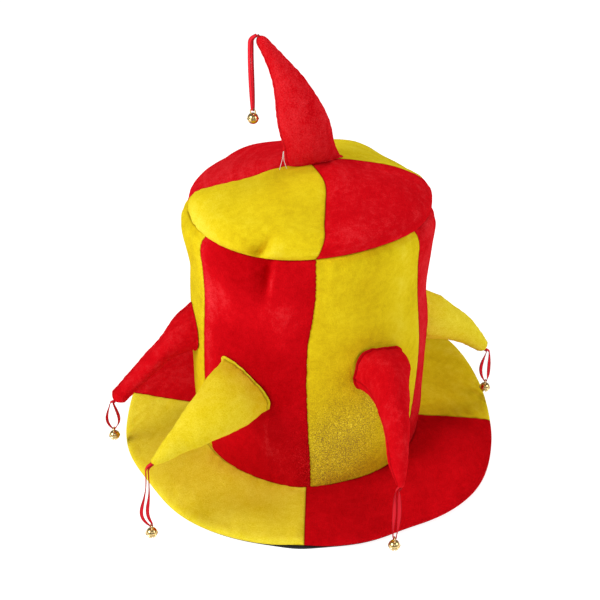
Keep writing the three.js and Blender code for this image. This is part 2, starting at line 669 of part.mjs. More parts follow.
// Jingle bell: a hollow ball with a rolled middle seam, a crossed slot underneath and a wire eye on top
function bellBody() {
  const profile = [];
  const arc = (radius, from, to, count) => {
    for (let step = 0; step <= count; step += 1) {
      const angle = radians(THREE.MathUtils.lerp(from, to, step / count));
      profile.push(new THREE.Vector2(Math.max(radius * Math.cos(angle), 0), radius * Math.sin(angle)));
    }
  };
  const inside = BELL_RADIUS - BELL_WALL;
  const seamAngle = 6;
  arc(BELL_RADIUS, -BELL_HOLE_ANGLE, -seamAngle, 3);
  profile.push(new THREE.Vector2(BELL_RADIUS + BELL_SEAM, 0));
  arc(BELL_RADIUS, seamAngle, 90, 3);
  arc(inside, 90, -BELL_HOLE_ANGLE, 5);
  profile.push(profile[0].clone());
  let body = solid(new THREE.LatheGeometry(profile, BELL_SIDES));
  const across = 4 * BELL_RADIUS;
  const slotBottom = -BELL_RADIUS - 1;
  for (const [wide, deep] of [[SLOT_WIDTH, across], [across, SLOT_WIDTH]]) {
    const slot = new THREE.BoxGeometry(wide, SLOT_TOP - slotBottom, deep);
    slot.translate(0, (SLOT_TOP + slotBottom) / 2, 0);
    body = body.subtract(solid(slot));
  }
  const eye = new THREE.TorusGeometry(EYE_RADIUS, EYE_WIRE, 5, BELL_SIDES);
  eye.translate(0, EYE_HEIGHT, 0);
  const cavity = new THREE.SphereGeometry(inside, BELL_SIDES, 8);
  const geometry = fromSolid(body.add(solid(eye).subtract(solid(cavity))));
  geometry.rotateX(Math.PI / 2);
  return geometry;
}

const hat = new THREE.Group();
for (const panel of CROWN_PANELS) hat.add(piece(panel.name, crownPanel(panel), panel.cloth));
for (const panel of CAP_PANELS) hat.add(piece(panel.name, capPanel(panel), panel.cloth));
for (const panel of BRIM_PANELS) hat.add(piece(panel.name, brimPanel(panel), panel.cloth));
hat.add(piece('brim_facing', brimFacing(), BLACK));
for (const horn of HORNS) hat.add(piece(`horn_${horn.place}`, hornBody(horn), horn.cloth));

const bellShape = bellBody();
for (const loop of LOOPS) {
  const horn = HORNS.find((entry) => entry.place === loop.place);
  const bell = piece(`bell_${loop.place}`, bellShape.clone(), GOLD);
  bell.position.copy(loopPath(loop, horn).bell);
  bell.rotation.z = radians(loop.angle);
  hat.add(piece(`ribbon_${loop.place}`, ribbon(loop, horn), SATIN), bell);
}

export default hat;
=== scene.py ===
"""Looks of a plush clown hat: camera and light, ribbon loops and bells, horns, cap, crown and brim.

All sizes are metres in the frame of the hat's solids, with +Z up and the front at -Y. Angles are degrees
round the crown from the front, positive towards +X.
"""

import logging
import math
from dataclasses import dataclass, field
from enum import Enum

import bpy
import numpy as np
from mathutils import Matrix, Vector


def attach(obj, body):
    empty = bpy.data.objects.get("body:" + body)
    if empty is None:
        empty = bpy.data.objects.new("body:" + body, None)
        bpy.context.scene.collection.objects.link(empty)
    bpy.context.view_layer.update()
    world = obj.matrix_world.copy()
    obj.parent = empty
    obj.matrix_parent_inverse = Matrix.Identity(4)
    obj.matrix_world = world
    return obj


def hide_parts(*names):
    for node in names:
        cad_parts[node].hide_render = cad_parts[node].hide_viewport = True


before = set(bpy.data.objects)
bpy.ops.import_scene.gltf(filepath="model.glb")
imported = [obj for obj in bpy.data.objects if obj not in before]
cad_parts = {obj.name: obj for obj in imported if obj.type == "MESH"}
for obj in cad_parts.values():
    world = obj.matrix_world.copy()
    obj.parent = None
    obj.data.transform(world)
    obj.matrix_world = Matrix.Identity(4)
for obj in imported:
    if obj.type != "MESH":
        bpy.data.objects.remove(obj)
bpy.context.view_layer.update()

Array = np.ndarray
Colour = tuple[float, float, float]
Point = tuple[float, float, float]

SEAM_GAP = 0.00006
FACING_GAP = 0.0003
CLOTH_THICK = 0.0024
CAP_HOLE = 0.0016
CROWN_MIDDLE_RADIUS = 0.1
TOP_RISE = 0.0065
TOP_RISE_ANGLE = 33.0
TOP_RISE_HALF = 40.0
SEAM_HOLD = 4
LUMP_WAVES = 7
GOLDEN_TURN = 2.39996
GOLDEN_SHARE = 0.618
NOISE_ROUGHNESS = 0.6
WAVE_TURN = 6.28
UP = np.array([0.0, 0.0, 1.0])
OFF_PATH = (0.31, 0.17, 0.94)
CROWN_STEPS = (0.0078, 0.03, 0.06, 0.09, 0.115, 0.145, 0.165, 0.19, 0.22)
CAP_STEPS = (0.0, 0.1, 0.22, 0.36, 0.52, 0.7, 0.85, 1.0)
CAP_SEAM_STEPS = (0.0, 0.36, 0.52, 0.7, 0.85, 1.0)

log = logging.getLogger("clown_hat")


class Cloth(Enum):
    """The two plush colours, by the record's slot for each."""

    RED = "red_plush"
    YELLOW = "yellow_plush"


# Sums that the shapes share


def joined(*parts: Array) -> Array:
    """Gives points from arrays of their coordinates, each spread to the same size."""
    return np.stack(np.broadcast_arrays(*parts), axis=-1)


def polar(angle: Array, radius: Array, height: Array) -> Array:
    """Gives points at an angle round the crown's axis, a radius from it and a height."""
    turned = np.radians(angle)
    return joined(radius * np.sin(turned), -radius * np.cos(turned), height)


def circle(count: int) -> Array:
    """Gives so many angles evenly round a circle, in radians."""
    return np.linspace(0, 2 * np.pi, count, endpoint=False)


def turn(angle: Array, start: float) -> Array:
    """Gives the shortest signed angle from one direction to another."""
    return (angle - start + 180) % 360 - 180


def hump(x: Array) -> Array:
    """Gives a bell curve: 1 in the middle and almost 0 at 2."""
    return np.exp(-x * x)


def fade(distance: Array, reach: float) -> Array:
    """Gives 1 at no distance, falling away over a reach."""
    return np.exp(-distance / reach)


def grow(distance: Array, reach: float) -> Array:
    """Gives 0 at no distance, rising towards 1 over a reach."""
    return 1 - fade(distance, reach)


def ramp(distance: Array, reach: float) -> Array:
    """Gives 0 up to no distance, rising evenly to 1 at a reach."""
    return np.clip(distance / reach, 0, 1)


def puff(across: Array) -> Array:
    """Gives how far a panel stands out across its width: the root of half a sine, 0 on each seam."""
    return np.sqrt(np.clip(np.sin(np.pi * across), 0, None))


def spread(count: int, crowd: float) -> Array:
    """Gives shares from 0 to 1 that crowd towards both ends: an even row less a part of one sine."""
    share = np.linspace(0, 1, count)
    return share - crowd * np.sin(2 * np.pi * share) / (2 * np.pi)


def wave(place: Array, seed: float) -> Array:
    """Gives an uneven wave of about one swing a unit: three sines that don't keep step.

    Args:
        place: where the wave is read.
        seed: shifts the sines against each other.

    Returns:
        Heights from about -1 to 1.
    """
    drift = 0.9 * np.sin(2.3 * place + 5.1 * seed)
    main = np.sin(2 * np.pi * place + drift + 3.7 * seed)
    quick = 0.5 * np.sin(3.46 * np.pi * place + 1.3 * seed - drift)
    slow = 0.35 * np.sin(0.82 * np.pi * place + 7.9 * seed)
    return (main + quick + slow) / 1.6


def lumps(points: Array, size: float, seed: float) -> Array:
    """Gives soft uneven lumps: seven plane waves in spread directions, each of its own length.

    Args:
        points: places in space, in the last axis.
        size: the usual distance between two lumps.
        seed: turns and shifts the waves.

    Returns:
        Heights from about -1 to 1 at each place.
    """
    order = np.arange(LUMP_WAVES)
    tilt = np.arccos(1 - 2 * (order + 0.5) / len(order))
    round_axis = GOLDEN_TURN * order + seed
    ways = joined(np.sin(tilt) * np.cos(round_axis), np.sin(tilt) * np.sin(round_axis), np.cos(tilt))
    length = size * (0.7 + 0.6 * ((GOLDEN_SHARE * order + seed) % 1))
    phase = 2 * np.pi * ((0.754 * order + 0.37 * seed) % 1)
    return np.sin(points @ (ways * 2 * np.pi / length[:, None]).T + phase).sum(axis=-1) / 2.6


def top_rise(angle: Array) -> Array:
    """Gives how much higher the crown's top edge stands at an angle round it."""
    return TOP_RISE * hump(turn(angle, TOP_RISE_ANGLE) / TOP_RISE_HALF)


def near_seam(angle: Array, seam: float) -> Array:
    """Gives how much of a seam's wandering the cloth at an angle shares, all of it on the seam."""
    return np.clip(np.cos(np.radians(angle - seam)), 0, None) ** SEAM_HOLD


def unit(vectors: Array) -> Array:
    """Gives the same directions with a length of 1."""
    return vectors / np.linalg.norm(vectors, axis=-1, keepdims=True)


def run_along(path: Array) -> Array:
    """Gives the way along a path to each of its points, from 0."""
    return np.concatenate([[0], np.cumsum(np.linalg.norm(np.diff(path, axis=0), axis=1))])


def cubic(knots: Array, t: Array) -> Array:
    """Gives points of the cubic curve that four knots draw, at shares of the way."""
    first = (1 - t) ** 3 * knots[0] + 3 * t * (1 - t) ** 2 * knots[1]
    return first + 3 * t**2 * (1 - t) * knots[2] + t**3 * knots[3]


@dataclass(frozen=True)
class Curve:
    """A smooth curve through a few points.

    Attributes:
        along: the points' places, rising.
        value: the curve's value at each place.
    """

    along: tuple[float, ...]
    value: tuple[float, ...]

    def at(self, place: Array) -> Array:
        """Reads the curve: a cubic between two points, with each point's slope taken from its neighbours.

        Args:
            place: where the curve is read; past the ends it keeps the end's value.

        Returns:
            The curve's values there.
        """
        x = np.asarray(self.along)
        y = np.asarray(self.value)
        order = np.arange(len(x))
        before = np.maximum(order - 1, 0)
        after = np.minimum(order + 1, len(x) - 1)
        slope = (y[after] - y[before]) / (x[after] - x[before])
        row = np.clip(np.searchsorted(x, place, side="right") - 1, 0, len(x) - 2)
        span = x[row + 1] - x[row]
        t = np.clip((place - x[row]) / span, 0, 1)
        rise = y[row + 1] - y[row]
        start = slope[row] * span
        end = slope[row + 1] * span
        return y[row] + start * t + (3 * rise - 2 * start - end) * t**2 + (start + end - 2 * rise) * t**3


# Meshes from whole arrays


def grid_faces(index: Array, wrap: bool = False) -> Array:
    """Gives the quads of a grid of point numbers.

    Args:
        index: point numbers, rows by columns.
        wrap: joins the last column to the first.

    Returns:
        Four point numbers for each quad.
    """
    left = index if wrap else index[:, :-1]
    right = np.roll(index, -1, axis=1) if wrap else index[:, 1:]
    return np.stack([left[:-1], right[:-1], right[1:], left[1:]], axis=-1).reshape(-1, 4)


def fan_faces(ring: Array, pole: int) -> Array:
    """Gives the triangles that close a ring of points onto one point, the ring's next point first."""
    return np.stack([ring, np.roll(ring, -1), np.full(len(ring), pole)], axis=-1)


def capped_faces(index: Array) -> list[Array]:
    """Gives the faces of a grid that wraps round and is closed by one more point at each end."""
    first = fan_faces(index[0, ::-1], index.size)
    last = fan_faces(index[-1], index.size + 1)
    return [grid_faces(index, wrap=True), first, last]


@dataclass
class Shape:
    """A mesh as arrays.

    Attributes:
        points: places, three numbers each.
        faces: arrays of point numbers, three or four for each face.
        cut: the place of each point on the flat cloth, for patterns that follow it.
        marks: masks over the points, by name.
    """

    points: Array
    faces: list[Array]
    cut: Array
    marks: dict[str, Array] = field(default_factory=dict)

    def mesh(self, name: str) -> bpy.types.Mesh:
        """Puts the arrays into a smooth Blender mesh.

        Args:
            name: the mesh's name.

        Returns:
            The mesh, with the cut as its UV map and the marks as attributes.
        """
        corners = np.concatenate([part.ravel() for part in self.faces])
        sizes = np.concatenate([np.full(len(part), part.shape[1]) for part in self.faces])
        made = bpy.data.meshes.new(name)
        made.vertices.add(len(self.points))
        made.vertices.foreach_set("co", self.points.astype(np.float32).ravel())
        made.loops.add(len(corners))
        made.loops.foreach_set("vertex_index", corners.astype(np.int32))
        made.polygons.add(len(sizes))
        made.polygons.foreach_set("loop_start", (np.cumsum(sizes) - sizes).astype(np.int32))
        made.polygons.foreach_set("use_smooth", np.ones(len(sizes), bool))
        made.update(calc_edges=True)
        flat = made.uv_layers.new(name="cut")
        flat.data.foreach_set("uv", self.cut[corners].astype(np.float32).ravel())
        for mark, values in self.marks.items():
            layer = made.attributes.new(mark, "FLOAT", "POINT")
            layer.data.foreach_set("value", values.astype(np.float32).ravel())
        made.validate()
        return made


def wall(outside: Array, inside: Array, cut: Array, marks: dict[str, Array], wrap: bool = False) -> Shape:
    """Joins an outside and an inside grid round their edges into one closed wall.

    Args:
        outside: points, rows by columns, seen from outside with columns to the right and rows upwards.
        inside: points of the other side, in the same order.
        cut: places on the flat cloth for either side.
        marks: masks over either side.
        wrap: the last column joins the first.

    Returns:
        The wall's shape.
    """
    rows, columns = outside.shape[:2]
    index = np.arange(rows * columns).reshape(rows, columns)
    faces = [grid_faces(index, wrap), grid_faces(index, wrap)[:, ::-1] + index.size]
    if wrap:
        edges = [index[0], index[-1, ::-1]]
    else:
        edges = [np.concatenate([index[0, :-1], index[:-1, -1], index[-1, :0:-1], index[:0:-1, 0]])]
    for edge in edges:
        ahead = np.roll(edge, -1)
        faces.append(np.stack([ahead, edge, edge + index.size, ahead + index.size], axis=-1))
    points = np.concatenate([outside.reshape(-1, 3), inside.reshape(-1, 3)])
    doubled = {name: np.tile(values.ravel(), 2) for name, values in marks.items()}
    return Shape(points, faces, np.tile(cut.reshape(-1, 2), (2, 1)), doubled)


def tube(path: Array, radius: Array, sides: int, closed: bool) -> Shape:
    """Carries a circle along a path.

    Args:
        path: the middle of the tube.
        radius: the tube's radius, one for all or one for each point.
        sides: how many sides the circle has.
        closed: the path's end joins its start; otherwise the ends are capped.

    Returns:
        The tube's shape.
    """
    ahead = np.roll(path, -1, axis=0) - np.roll(path, 1, axis=0) if closed else np.gradient(path, axis=0)
    along = unit(ahead)
    side = unit(np.cross(along, OFF_PATH))
    up = np.cross(along, side)
    turned = circle(sides)[None, :, None]
    reach = np.broadcast_to(radius, len(path))[:, None, None]
    rings = path[:, None] + reach * (side[:, None] * np.cos(turned) + up[:, None] * np.sin(turned))
    index = np.arange(len(path) * sides).reshape(len(path), sides)
    if closed:
        faces = [grid_faces(np.concatenate([index, index[:1]]), wrap=True)]
        points = rings.reshape(-1, 3)
    else:
        faces = capped_faces(index)
        points = np.concatenate([rings.reshape(-1, 3), path[:1], path[-1:]])
    return Shape(points, faces, np.zeros((len(points), 2)))


# Finishes


class Wiring:
    """Adds nodes to one node tree and joins them up."""

    def __init__(self, tree: bpy.types.NodeTree) -> None:
        """Starts with the tree as it is."""
        self.tree = tree

    def add(self, kind: str, inputs: dict[str | int, object], **settings: object) -> bpy.types.Node:
        """Adds a node.

        Args:
            kind: the node's type.
            inputs: a value, or another node's output, for each input by name or number.
            settings: the node's own properties.

        Returns:
            The new node.
        """
        node = self.tree.nodes.new(kind)
        for name, value in settings.items():
            setattr(node, name, value)
        self.set(node, inputs)
        return node

    def set(self, node: bpy.types.Node, inputs: dict[str | int, object]) -> None:
        """Sets inputs of a node, each to a value or to another node's output.

        Args:
            node: whose inputs they are.
            inputs: what goes in, by name or number.
        """
        for name, value in inputs.items():
            if isinstance(value, bpy.types.NodeSocket):
                self.tree.links.new(value, node.inputs[name])
            else:
                node.inputs[name].default_value = value

    def sum(self, kind: str, *values: object, clamp: bool = False) -> bpy.types.NodeSocket:
        """Adds a Math node of one kind over its values and gives its result."""
        made = self.add("ShaderNodeMath", dict(enumerate(values)), operation=kind, use_clamp=clamp)
        return made.outputs[0]

    def mix(self, share: object, first: object, second: object) -> bpy.types.NodeSocket:
        """Adds a node that goes from a first colour to a second by a share, and gives the colour."""
        inputs = {0: share, 6: first, 7: second}
        return self.add("ShaderNodeMix", inputs, data_type="RGBA").outputs[2]

    def noise(self, place: object, scale: float, detail: float = 2.0) -> bpy.types.NodeSocket:
        """Adds soft noise of so many swings a metre and gives its height round 0."""
        inputs = {"Vector": place, "Scale": scale, "Detail": detail, "Roughness": NOISE_ROUGHNESS}
        made = self.add("ShaderNodeTexNoise", inputs)
        return self.sum("SUBTRACT", made.outputs[0], 0.5)

    def mask(self, name: str) -> bpy.types.NodeSocket:
        """Reads one of the piece's own masks."""
        return self.add("ShaderNodeAttribute", {}, attribute_name=name).outputs["Fac"]


def paint(colour: Colour) -> tuple[float, float, float, float]:
    """Gives a colour with its alpha."""
    return (*colour, 1.0)


@dataclass(frozen=True)
class Finish:
    """What a piece is made of.

    Attributes:
        slot: the record's slot for the piece; not used.
        name: the material's name.
    """

    slot: str
    name: str

    def material(self) -> bpy.types.Material:
        """Makes the material once and dresses it.

        Returns:
            The material, with one Principled shader.
        """
        made = bpy.data.materials.get(self.name)
        if made is None:
            made = bpy.data.materials.new(self.name)
            made.use_nodes = True
            self.dress(Wiring(made.node_tree), made.node_tree.nodes["Principled BSDF"])
        return made

    def dress(self, wiring: Wiring, shader: bpy.types.Node) -> None:
        """Wires up the shader; each finish has its own way."""
        raise NotImplementedError


@dataclass(frozen=True)
class ShortPile:
    """Shader group for short pile, shared by the two plush colours.

    Attributes:
        name: the group's name.
        fibre: the size of single tips of the pile.
        tuft: the size of small clumps.
        brushed: the size of patches that lie one way.
        fibre_light: how strongly the tips show in the colour.
        tuft_light: how strongly the clumps show.
        brushed_light: how strongly the patches show.
        tip_highlight_gain: how much stronger the tips show, as a painted highlight, where the pile is
            lightened.
        worn_light: how much stronger the tips show where the pile is thin.
        worn_shade: how much darker the cloth is there.
        seam_painted_shade: how dark the painted shade along a seam is.
        shadow: how far that line goes from the deep colour to black.
        tuft_depth: how high the clumps stand against the tips.
        detail: how much finer noise the clumps and patches hold.
        depth: how deep the pile is for the light.
        strength: how strongly it turns the light.
    """

    name: str = "short_pile"
    fibre: float = 0.0009
    tuft: float = 0.005
    brushed: float = 0.03
    fibre_light: float = 0.42
    tuft_light: float = 0.36
    brushed_light: float = 0.45
    tip_highlight_gain: float = 2.2
    worn_light: float = 2.8
    worn_shade: float = 0.08
    seam_painted_shade: float = 0.6
    shadow: float = 0.5
    tuft_depth: float = 0.6
    detail: float = 3.0
    depth: float = 0.0012
    strength: float = 0.5

    def group(self) -> bpy.types.NodeTree:
        """Builds the group once: noise of three sizes moves the colour from deep over plain to tip.

        Returns:
            The group, with the inputs Deep, Plain, Tip and Thin and the outputs Colour and Normal.
        """
        made = bpy.data.node_groups.get(self.name)
        if made is not None:
            return made
        made = bpy.data.node_groups.new(self.name, "ShaderNodeTree")
        for name in ("Deep", "Plain", "Tip", "Thin"):
            made.interface.new_socket(name, in_out="INPUT", socket_type="NodeSocketColor")
        made.interface.new_socket("Colour", in_out="OUTPUT", socket_type="NodeSocketColor")
        made.interface.new_socket("Normal", in_out="OUTPUT", socket_type="NodeSocketVector")
        wiring = Wiring(made)
        given = wiring.add("NodeGroupInput", {}).outputs
        place = wiring.add("ShaderNodeTexCoord", {}).outputs["Object"]
        flat = wiring.add("ShaderNodeUVMap", {}, uv_map="cut").outputs["UV"]
        fibre = wiring.noise(place, 1 / self.fibre)
        tuft = wiring.noise(place, 1 / self.tuft, self.detail)
        brushed = wiring.noise(flat, 1 / self.brushed, self.detail)
        worn = wiring.mask("worn")
        # Lighter or darker pile: the pile's own tone, with painted highlights and painted shade in creases
        # and on shaded pieces.
        nap_and_painted_light = wiring.mask("nap_and_painted_light")
        # Painted highlight: the tips show more strongly where the pile is lightened.
        painted_tip_highlight = wiring.sum("MULTIPLY", wiring.sum("MAXIMUM", nap_and_painted_light, 0.0), self.tip_highlight_gain)
        fibre_light = wiring.sum("MULTIPLY_ADD", worn, self.worn_light, self.fibre_light)
        fibre_light = wiring.sum("ADD", fibre_light, painted_tip_highlight)
        light = wiring.sum("MULTIPLY_ADD", fibre, fibre_light, 0.5)
        light = wiring.sum("MULTIPLY_ADD", tuft, self.tuft_light, light)
        light = wiring.sum("MULTIPLY_ADD", brushed, self.brushed_light, light)
        light = wiring.sum("MULTIPLY_ADD", worn, -self.worn_shade, light)
        light = wiring.sum("ADD", light, nap_and_painted_light)
        low = wiring.sum("MULTIPLY", light, 2.0, clamp=True)
        high = wiring.sum("MULTIPLY_ADD", light, 2.0, -1.0, clamp=True)
        deep = wiring.mix(worn, given["Deep"], given["Thin"])
        colour = wiring.mix(high, wiring.mix(low, deep, given["Plain"]), given["Tip"])
        # Painted shade along the seams: the seam mask mixes the colour towards the deep colour darkened with
        # black.
        seam = wiring.sum("MULTIPLY", wiring.mask("seam"), self.seam_painted_shade)
        shadow = wiring.mix(self.shadow, given["Deep"], paint((0.0, 0.0, 0.0)))
        height = wiring.sum("MULTIPLY_ADD", tuft, self.tuft_depth, fibre)
        inputs = {"Strength": self.strength, "Distance": self.depth, "Height": height}
        bump = wiring.add("ShaderNodeBump", inputs)
        outputs = {"Colour": wiring.mix(seam, colour, shadow), "Normal": bump.outputs["Normal"]}
        wiring.add("NodeGroupOutput", outputs)
        return made


@dataclass(frozen=True)
class PlushFinish(Finish):
    """One plush colour.

    Attributes:
        deep: the colour down between the tips.
        plain: the colour of most of the cloth.
        tip: the colour where the pile catches the light.
        thin: the colour of the backing where the pile is worn.
        sheen: the soft light along the pile's edges.
        sheen_weight: how strong that light is.
        sheen_roughness: how wide it spreads.
    """

    deep: Colour
    plain: Colour
    tip: Colour
    thin: Colour
    sheen: Colour
    sheen_weight: float = 0.3
    sheen_roughness: float = 0.4

    def dress(self, wiring: Wiring, shader: bpy.types.Node) -> None:
        """Takes the pile's colour and bump from the shared group, and adds a sheen.

        Args:
            wiring: adds nodes.
            shader: what they feed.
        """
        colours = {"Deep": self.deep, "Plain": self.plain, "Tip": self.tip, "Thin": self.thin}
        inputs = {name: paint(colour) for name, colour in colours.items()}
        pile = wiring.tree.nodes.new("ShaderNodeGroup")
        pile.node_tree = ShortPile().group()
        wiring.set(pile, inputs)
        wiring.set(shader, {"Base Color": pile.outputs["Colour"], "Normal": pile.outputs["Normal"]})
        wiring.set(shader, {"Roughness": 1.0, "Specular IOR Level": 0.0})
        wiring.set(shader, {"Sheen Weight": self.sheen_weight, "Sheen Roughness": self.sheen_roughness})
        wiring.set(shader, {"Sheen Tint": paint(self.sheen)})


@dataclass(frozen=True)
class SatinFinish(Finish):
    """Narrow satin ribbon.

    Attributes:
        light: the ribbon's colour.
        dark: the colour of the painted shade along its edges, and between its threads.
        thread: the distance between two threads across it.
        edge_painted_shade, thread_dark: how dark the painted shade along its edges is, and how dark the gaps
            between its threads are.
        uneven, thread_depth, thread_strength: how far its threads stray and turn the light.
    """

    slot: str = "red_satin"
    name: str = "satin_ribbon"
    light: Colour = (0.76, 0.022, 0.036)
    dark: Colour = (0.24, 0.008, 0.01)
    thread: float = 0.0005
    uneven: float = 0.4
    edge_painted_shade: float = 0.7
    thread_dark: float = 0.25
    thread_depth: float = 0.0001
    thread_strength: float = 0.25

    def dress(self, wiring: Wiring, shader: bpy.types.Node) -> None:
        """Wires fine cross threads and painted shade along the edges, with the specular turned off.

        Args:
            wiring: adds nodes.
            shader: what they feed.
        """
        flat = wiring.add("ShaderNodeUVMap", {}, uv_map="cut").outputs["UV"]
        inputs = {"Vector": flat, "Scale": 1 / self.thread / WAVE_TURN}
        inputs.update({"Distortion": self.uneven, "Detail Scale": 2.0})
        threads = wiring.add("ShaderNodeTexWave", inputs, bands_direction="Y").outputs["Fac"]
        between = wiring.sum("MULTIPLY", threads, self.thread_dark)
        # Painted shade along the ribbon's edges, added to the darker gaps between its threads.
        dull = wiring.sum("MULTIPLY_ADD", wiring.mask("edge"), self.edge_painted_shade, between, clamp=True)
        relief = {"Strength": self.thread_strength, "Distance": self.thread_depth, "Height": threads}
        bump = wiring.add("ShaderNodeBump", relief)
        wiring.set(shader, {"Base Color": wiring.mix(dull, paint(self.light), paint(self.dark))})
        wiring.set(shader, {"Normal": bump.outputs["Normal"], "Roughness": 0.45, "Specular IOR Level": 0.0})


@dataclass(frozen=True)
class GoldFinish(Finish):
    """Bright gold plating on the bells.

    Attributes:
        bright: the plating's colour.
        dull: the colour in rubbed and tarnished spots.
        spots, detail, contrast: how many spots there are on a metre, how fine and how sharp.
        tarnish, rough, spot_rough: how dull and rough the plating is, and its spots' roughness.
    """

    slot: str = "gold_bell"
    name: str = "gold_plating"
    bright: Colour = (0.82, 0.62, 0.28)
    dull: Colour = (0.42, 0.27, 0.09)
    spots: float = 900.0
    detail: float = 4.0
    contrast: float = 2.4
    tarnish: float = 0.3
    rough: float = 0.14
    spot_rough: float = 0.22

    def dress(self, wiring: Wiring, shader: bpy.types.Node) -> None:
        """Wires metal with faint tarnish spots that are also rougher.

        Args:
            wiring: adds nodes.
            shader: what they feed.
        """
        place = wiring.add("ShaderNodeTexCoord", {}).outputs["Object"]
        spots = wiring.noise(place, self.spots, self.detail)
        share = wiring.sum("MULTIPLY_ADD", spots, self.contrast, self.tarnish, clamp=True)
        rough = wiring.sum("MULTIPLY_ADD", share, self.spot_rough, self.rough)
        colour = wiring.mix(share, paint(self.bright), paint(self.dull))
        wiring.set(shader, {"Base Color": colour, "Roughness": rough, "Metallic": 1.0})


@dataclass(frozen=True)
class FacingFinish(Finish):
    """Plain woven black cloth under the brim.

    Attributes:
        thread: the distance between two threads.
        light: the colour of a thread's crown.
        dark: the colour between the threads.
        uneven, depth, strength: how far its threads stray and turn the light.
    """

    slot: str = "black_facing"
    name: str = "black_weave"
    thread: float = 0.0009
    light: Colour = (0.022, 0.022, 0.026)
    dark: Colour = (0.004, 0.004, 0.005)
    uneven: float = 0.3
    depth: float = 0.0003
    strength: float = 0.5

    def dress(self, wiring: Wiring, shader: bpy.types.Node) -> None:
        """Wires two crossed thread waves for colour and bump.

        Args:
            wiring: adds nodes.
            shader: what they feed.
        """
        place = wiring.add("ShaderNodeTexCoord", {}).outputs["Object"]
        inputs = {"Vector": place, "Scale": 1 / self.thread / WAVE_TURN, "Distortion": self.uneven}
        warp = wiring.add("ShaderNodeTexWave", inputs, bands_direction="X").outputs["Fac"]
        weft = wiring.add("ShaderNodeTexWave", inputs, bands_direction="Y").outputs["Fac"]
        weave = wiring.sum("MULTIPLY", warp, weft)
        relief = {"Strength": self.strength, "Distance": self.depth, "Height": weave}
        bump = wiring.add("ShaderNodeBump", relief)
        colour = wiring.mix(weave, paint(self.dark), paint(self.light))
        wiring.set(shader, {"Base Color": colour, "Normal": bump.outputs["Normal"], "Roughness": 0.88})


@dataclass(frozen=True)
class ThreadFinish(Finish):
    """Loose white sewing thread.

    Attributes:
        light: the thread's colour.
        dark: the colour between its strands.
        strands: how many of them there are on a metre.
    """

    slot: str = "red_satin"
    name: str = "white_thread"
    light: Colour = (0.85, 0.82, 0.8)
    dark: Colour = (0.55, 0.5, 0.48)
    strands: float = 2500.0

    def dress(self, wiring: Wiring, shader: bpy.types.Node) -> None:
        """Wires a matt thread with uneven strands.

        Args:
            wiring: adds nodes.
            shader: what they feed.
        """
        place = wiring.add("ShaderNodeTexCoord", {}).outputs["Object"]
        strands = wiring.sum("ADD", wiring.noise(place, self.strands), 0.5, clamp=True)
        colour = wiring.mix(strands, paint(self.dark), paint(self.light))
        wiring.set(shader, {"Base Color": colour, "Roughness": 0.7})


@dataclass(frozen=True)
class FloorFinish(Finish):
    """Pale paper under the hat, bright enough to look like its surroundings.

    Attributes:
        light: the paper's colour.
        glow: how much light it gives of its own.
    """

    slot: str = ""
    name: str = "pale_paper"
    light: Colour = (0.5, 0.5, 0.5)
    glow: float = 1.6

    def dress(self, wiring: Wiring, shader: bpy.types.Node) -> None:
        """Sets a matt white that glows a little."""
        wiring.set(shader, {"Base Color": paint(self.light), "Roughness": 0.9, "Specular IOR Level": 0.1})
        wiring.set(shader, {"Emission Color": paint(self.light), "Emission Strength": self.glow})


PLUSH = {
    Cloth.RED: PlushFinish(
        slot=Cloth.RED.value,
        name="red_pile",
        deep=(0.3, 0.0, 0.001),
        plain=(0.57, 0.003, 0.007),
        tip=(0.83, 0.045, 0.054),
        thin=(0.26, 0.004, 0.004),
        sheen=(1.0, 0.02, 0.03),
    ),
    Cloth.YELLOW: PlushFinish(
        slot=Cloth.YELLOW.value,
        name="yellow_pile",
        deep=(0.42, 0.22, 0.001),
        plain=(0.72, 0.545, 0.009),
        tip=(0.92, 0.79, 0.08),
        thin=(0.34, 0.215, 0.03),
        sheen=(1.0, 0.85, 0.06),
    ),
}


def put(name: str, data: bpy.types.ID) -> bpy.types.Object:
    """Puts a mesh, a lamp or a camera into the scene as an object."""
    made = bpy.data.objects.new(name, data)
    bpy.context.scene.collection.objects.link(made)
    return made


def add_piece(name: str, shape: Shape, finish: Finish, *nodes: str) -> bpy.types.Object:
    """Makes a shape into a piece of the hat.

    Args:
        name: the piece's name.
        shape: its mesh, in place.
        finish: what it is made of.
        nodes: the solids that it stands for.

    Returns:
        The piece, riding with the hat.
    """
    mesh = shape.mesh(name)
    mesh.materials.append(finish.material())
    made = put(name, mesh)
    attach(made, "root")
    if nodes:
        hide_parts(*nodes)
    log.info("%s: %d points", name, len(shape.points))
    return made


# The hat's sub-assemblies


@dataclass(frozen=True)
class Lamp:
    """One large soft lamp.

    Attributes:
        name: the lamp's name.
        place: where it hangs.
        size: its width.
        watts: its power.
    """

    name: str
    place: Point
    size: float
    watts: float

    def hang(self, target: Point) -> None:
        """Hangs the lamp.

        Args:
            target: the place that it faces.
        """
        light = bpy.data.lights.new(self.name, "AREA")
        light.shape = "DISK"
        light.size = self.size
        light.energy = self.watts
        made = put(self.name, light)
        made.location = self.place
        away = Vector(self.place) - Vector(target)
        made.rotation_euler = away.to_track_quat("Z", "Y").to_euler()


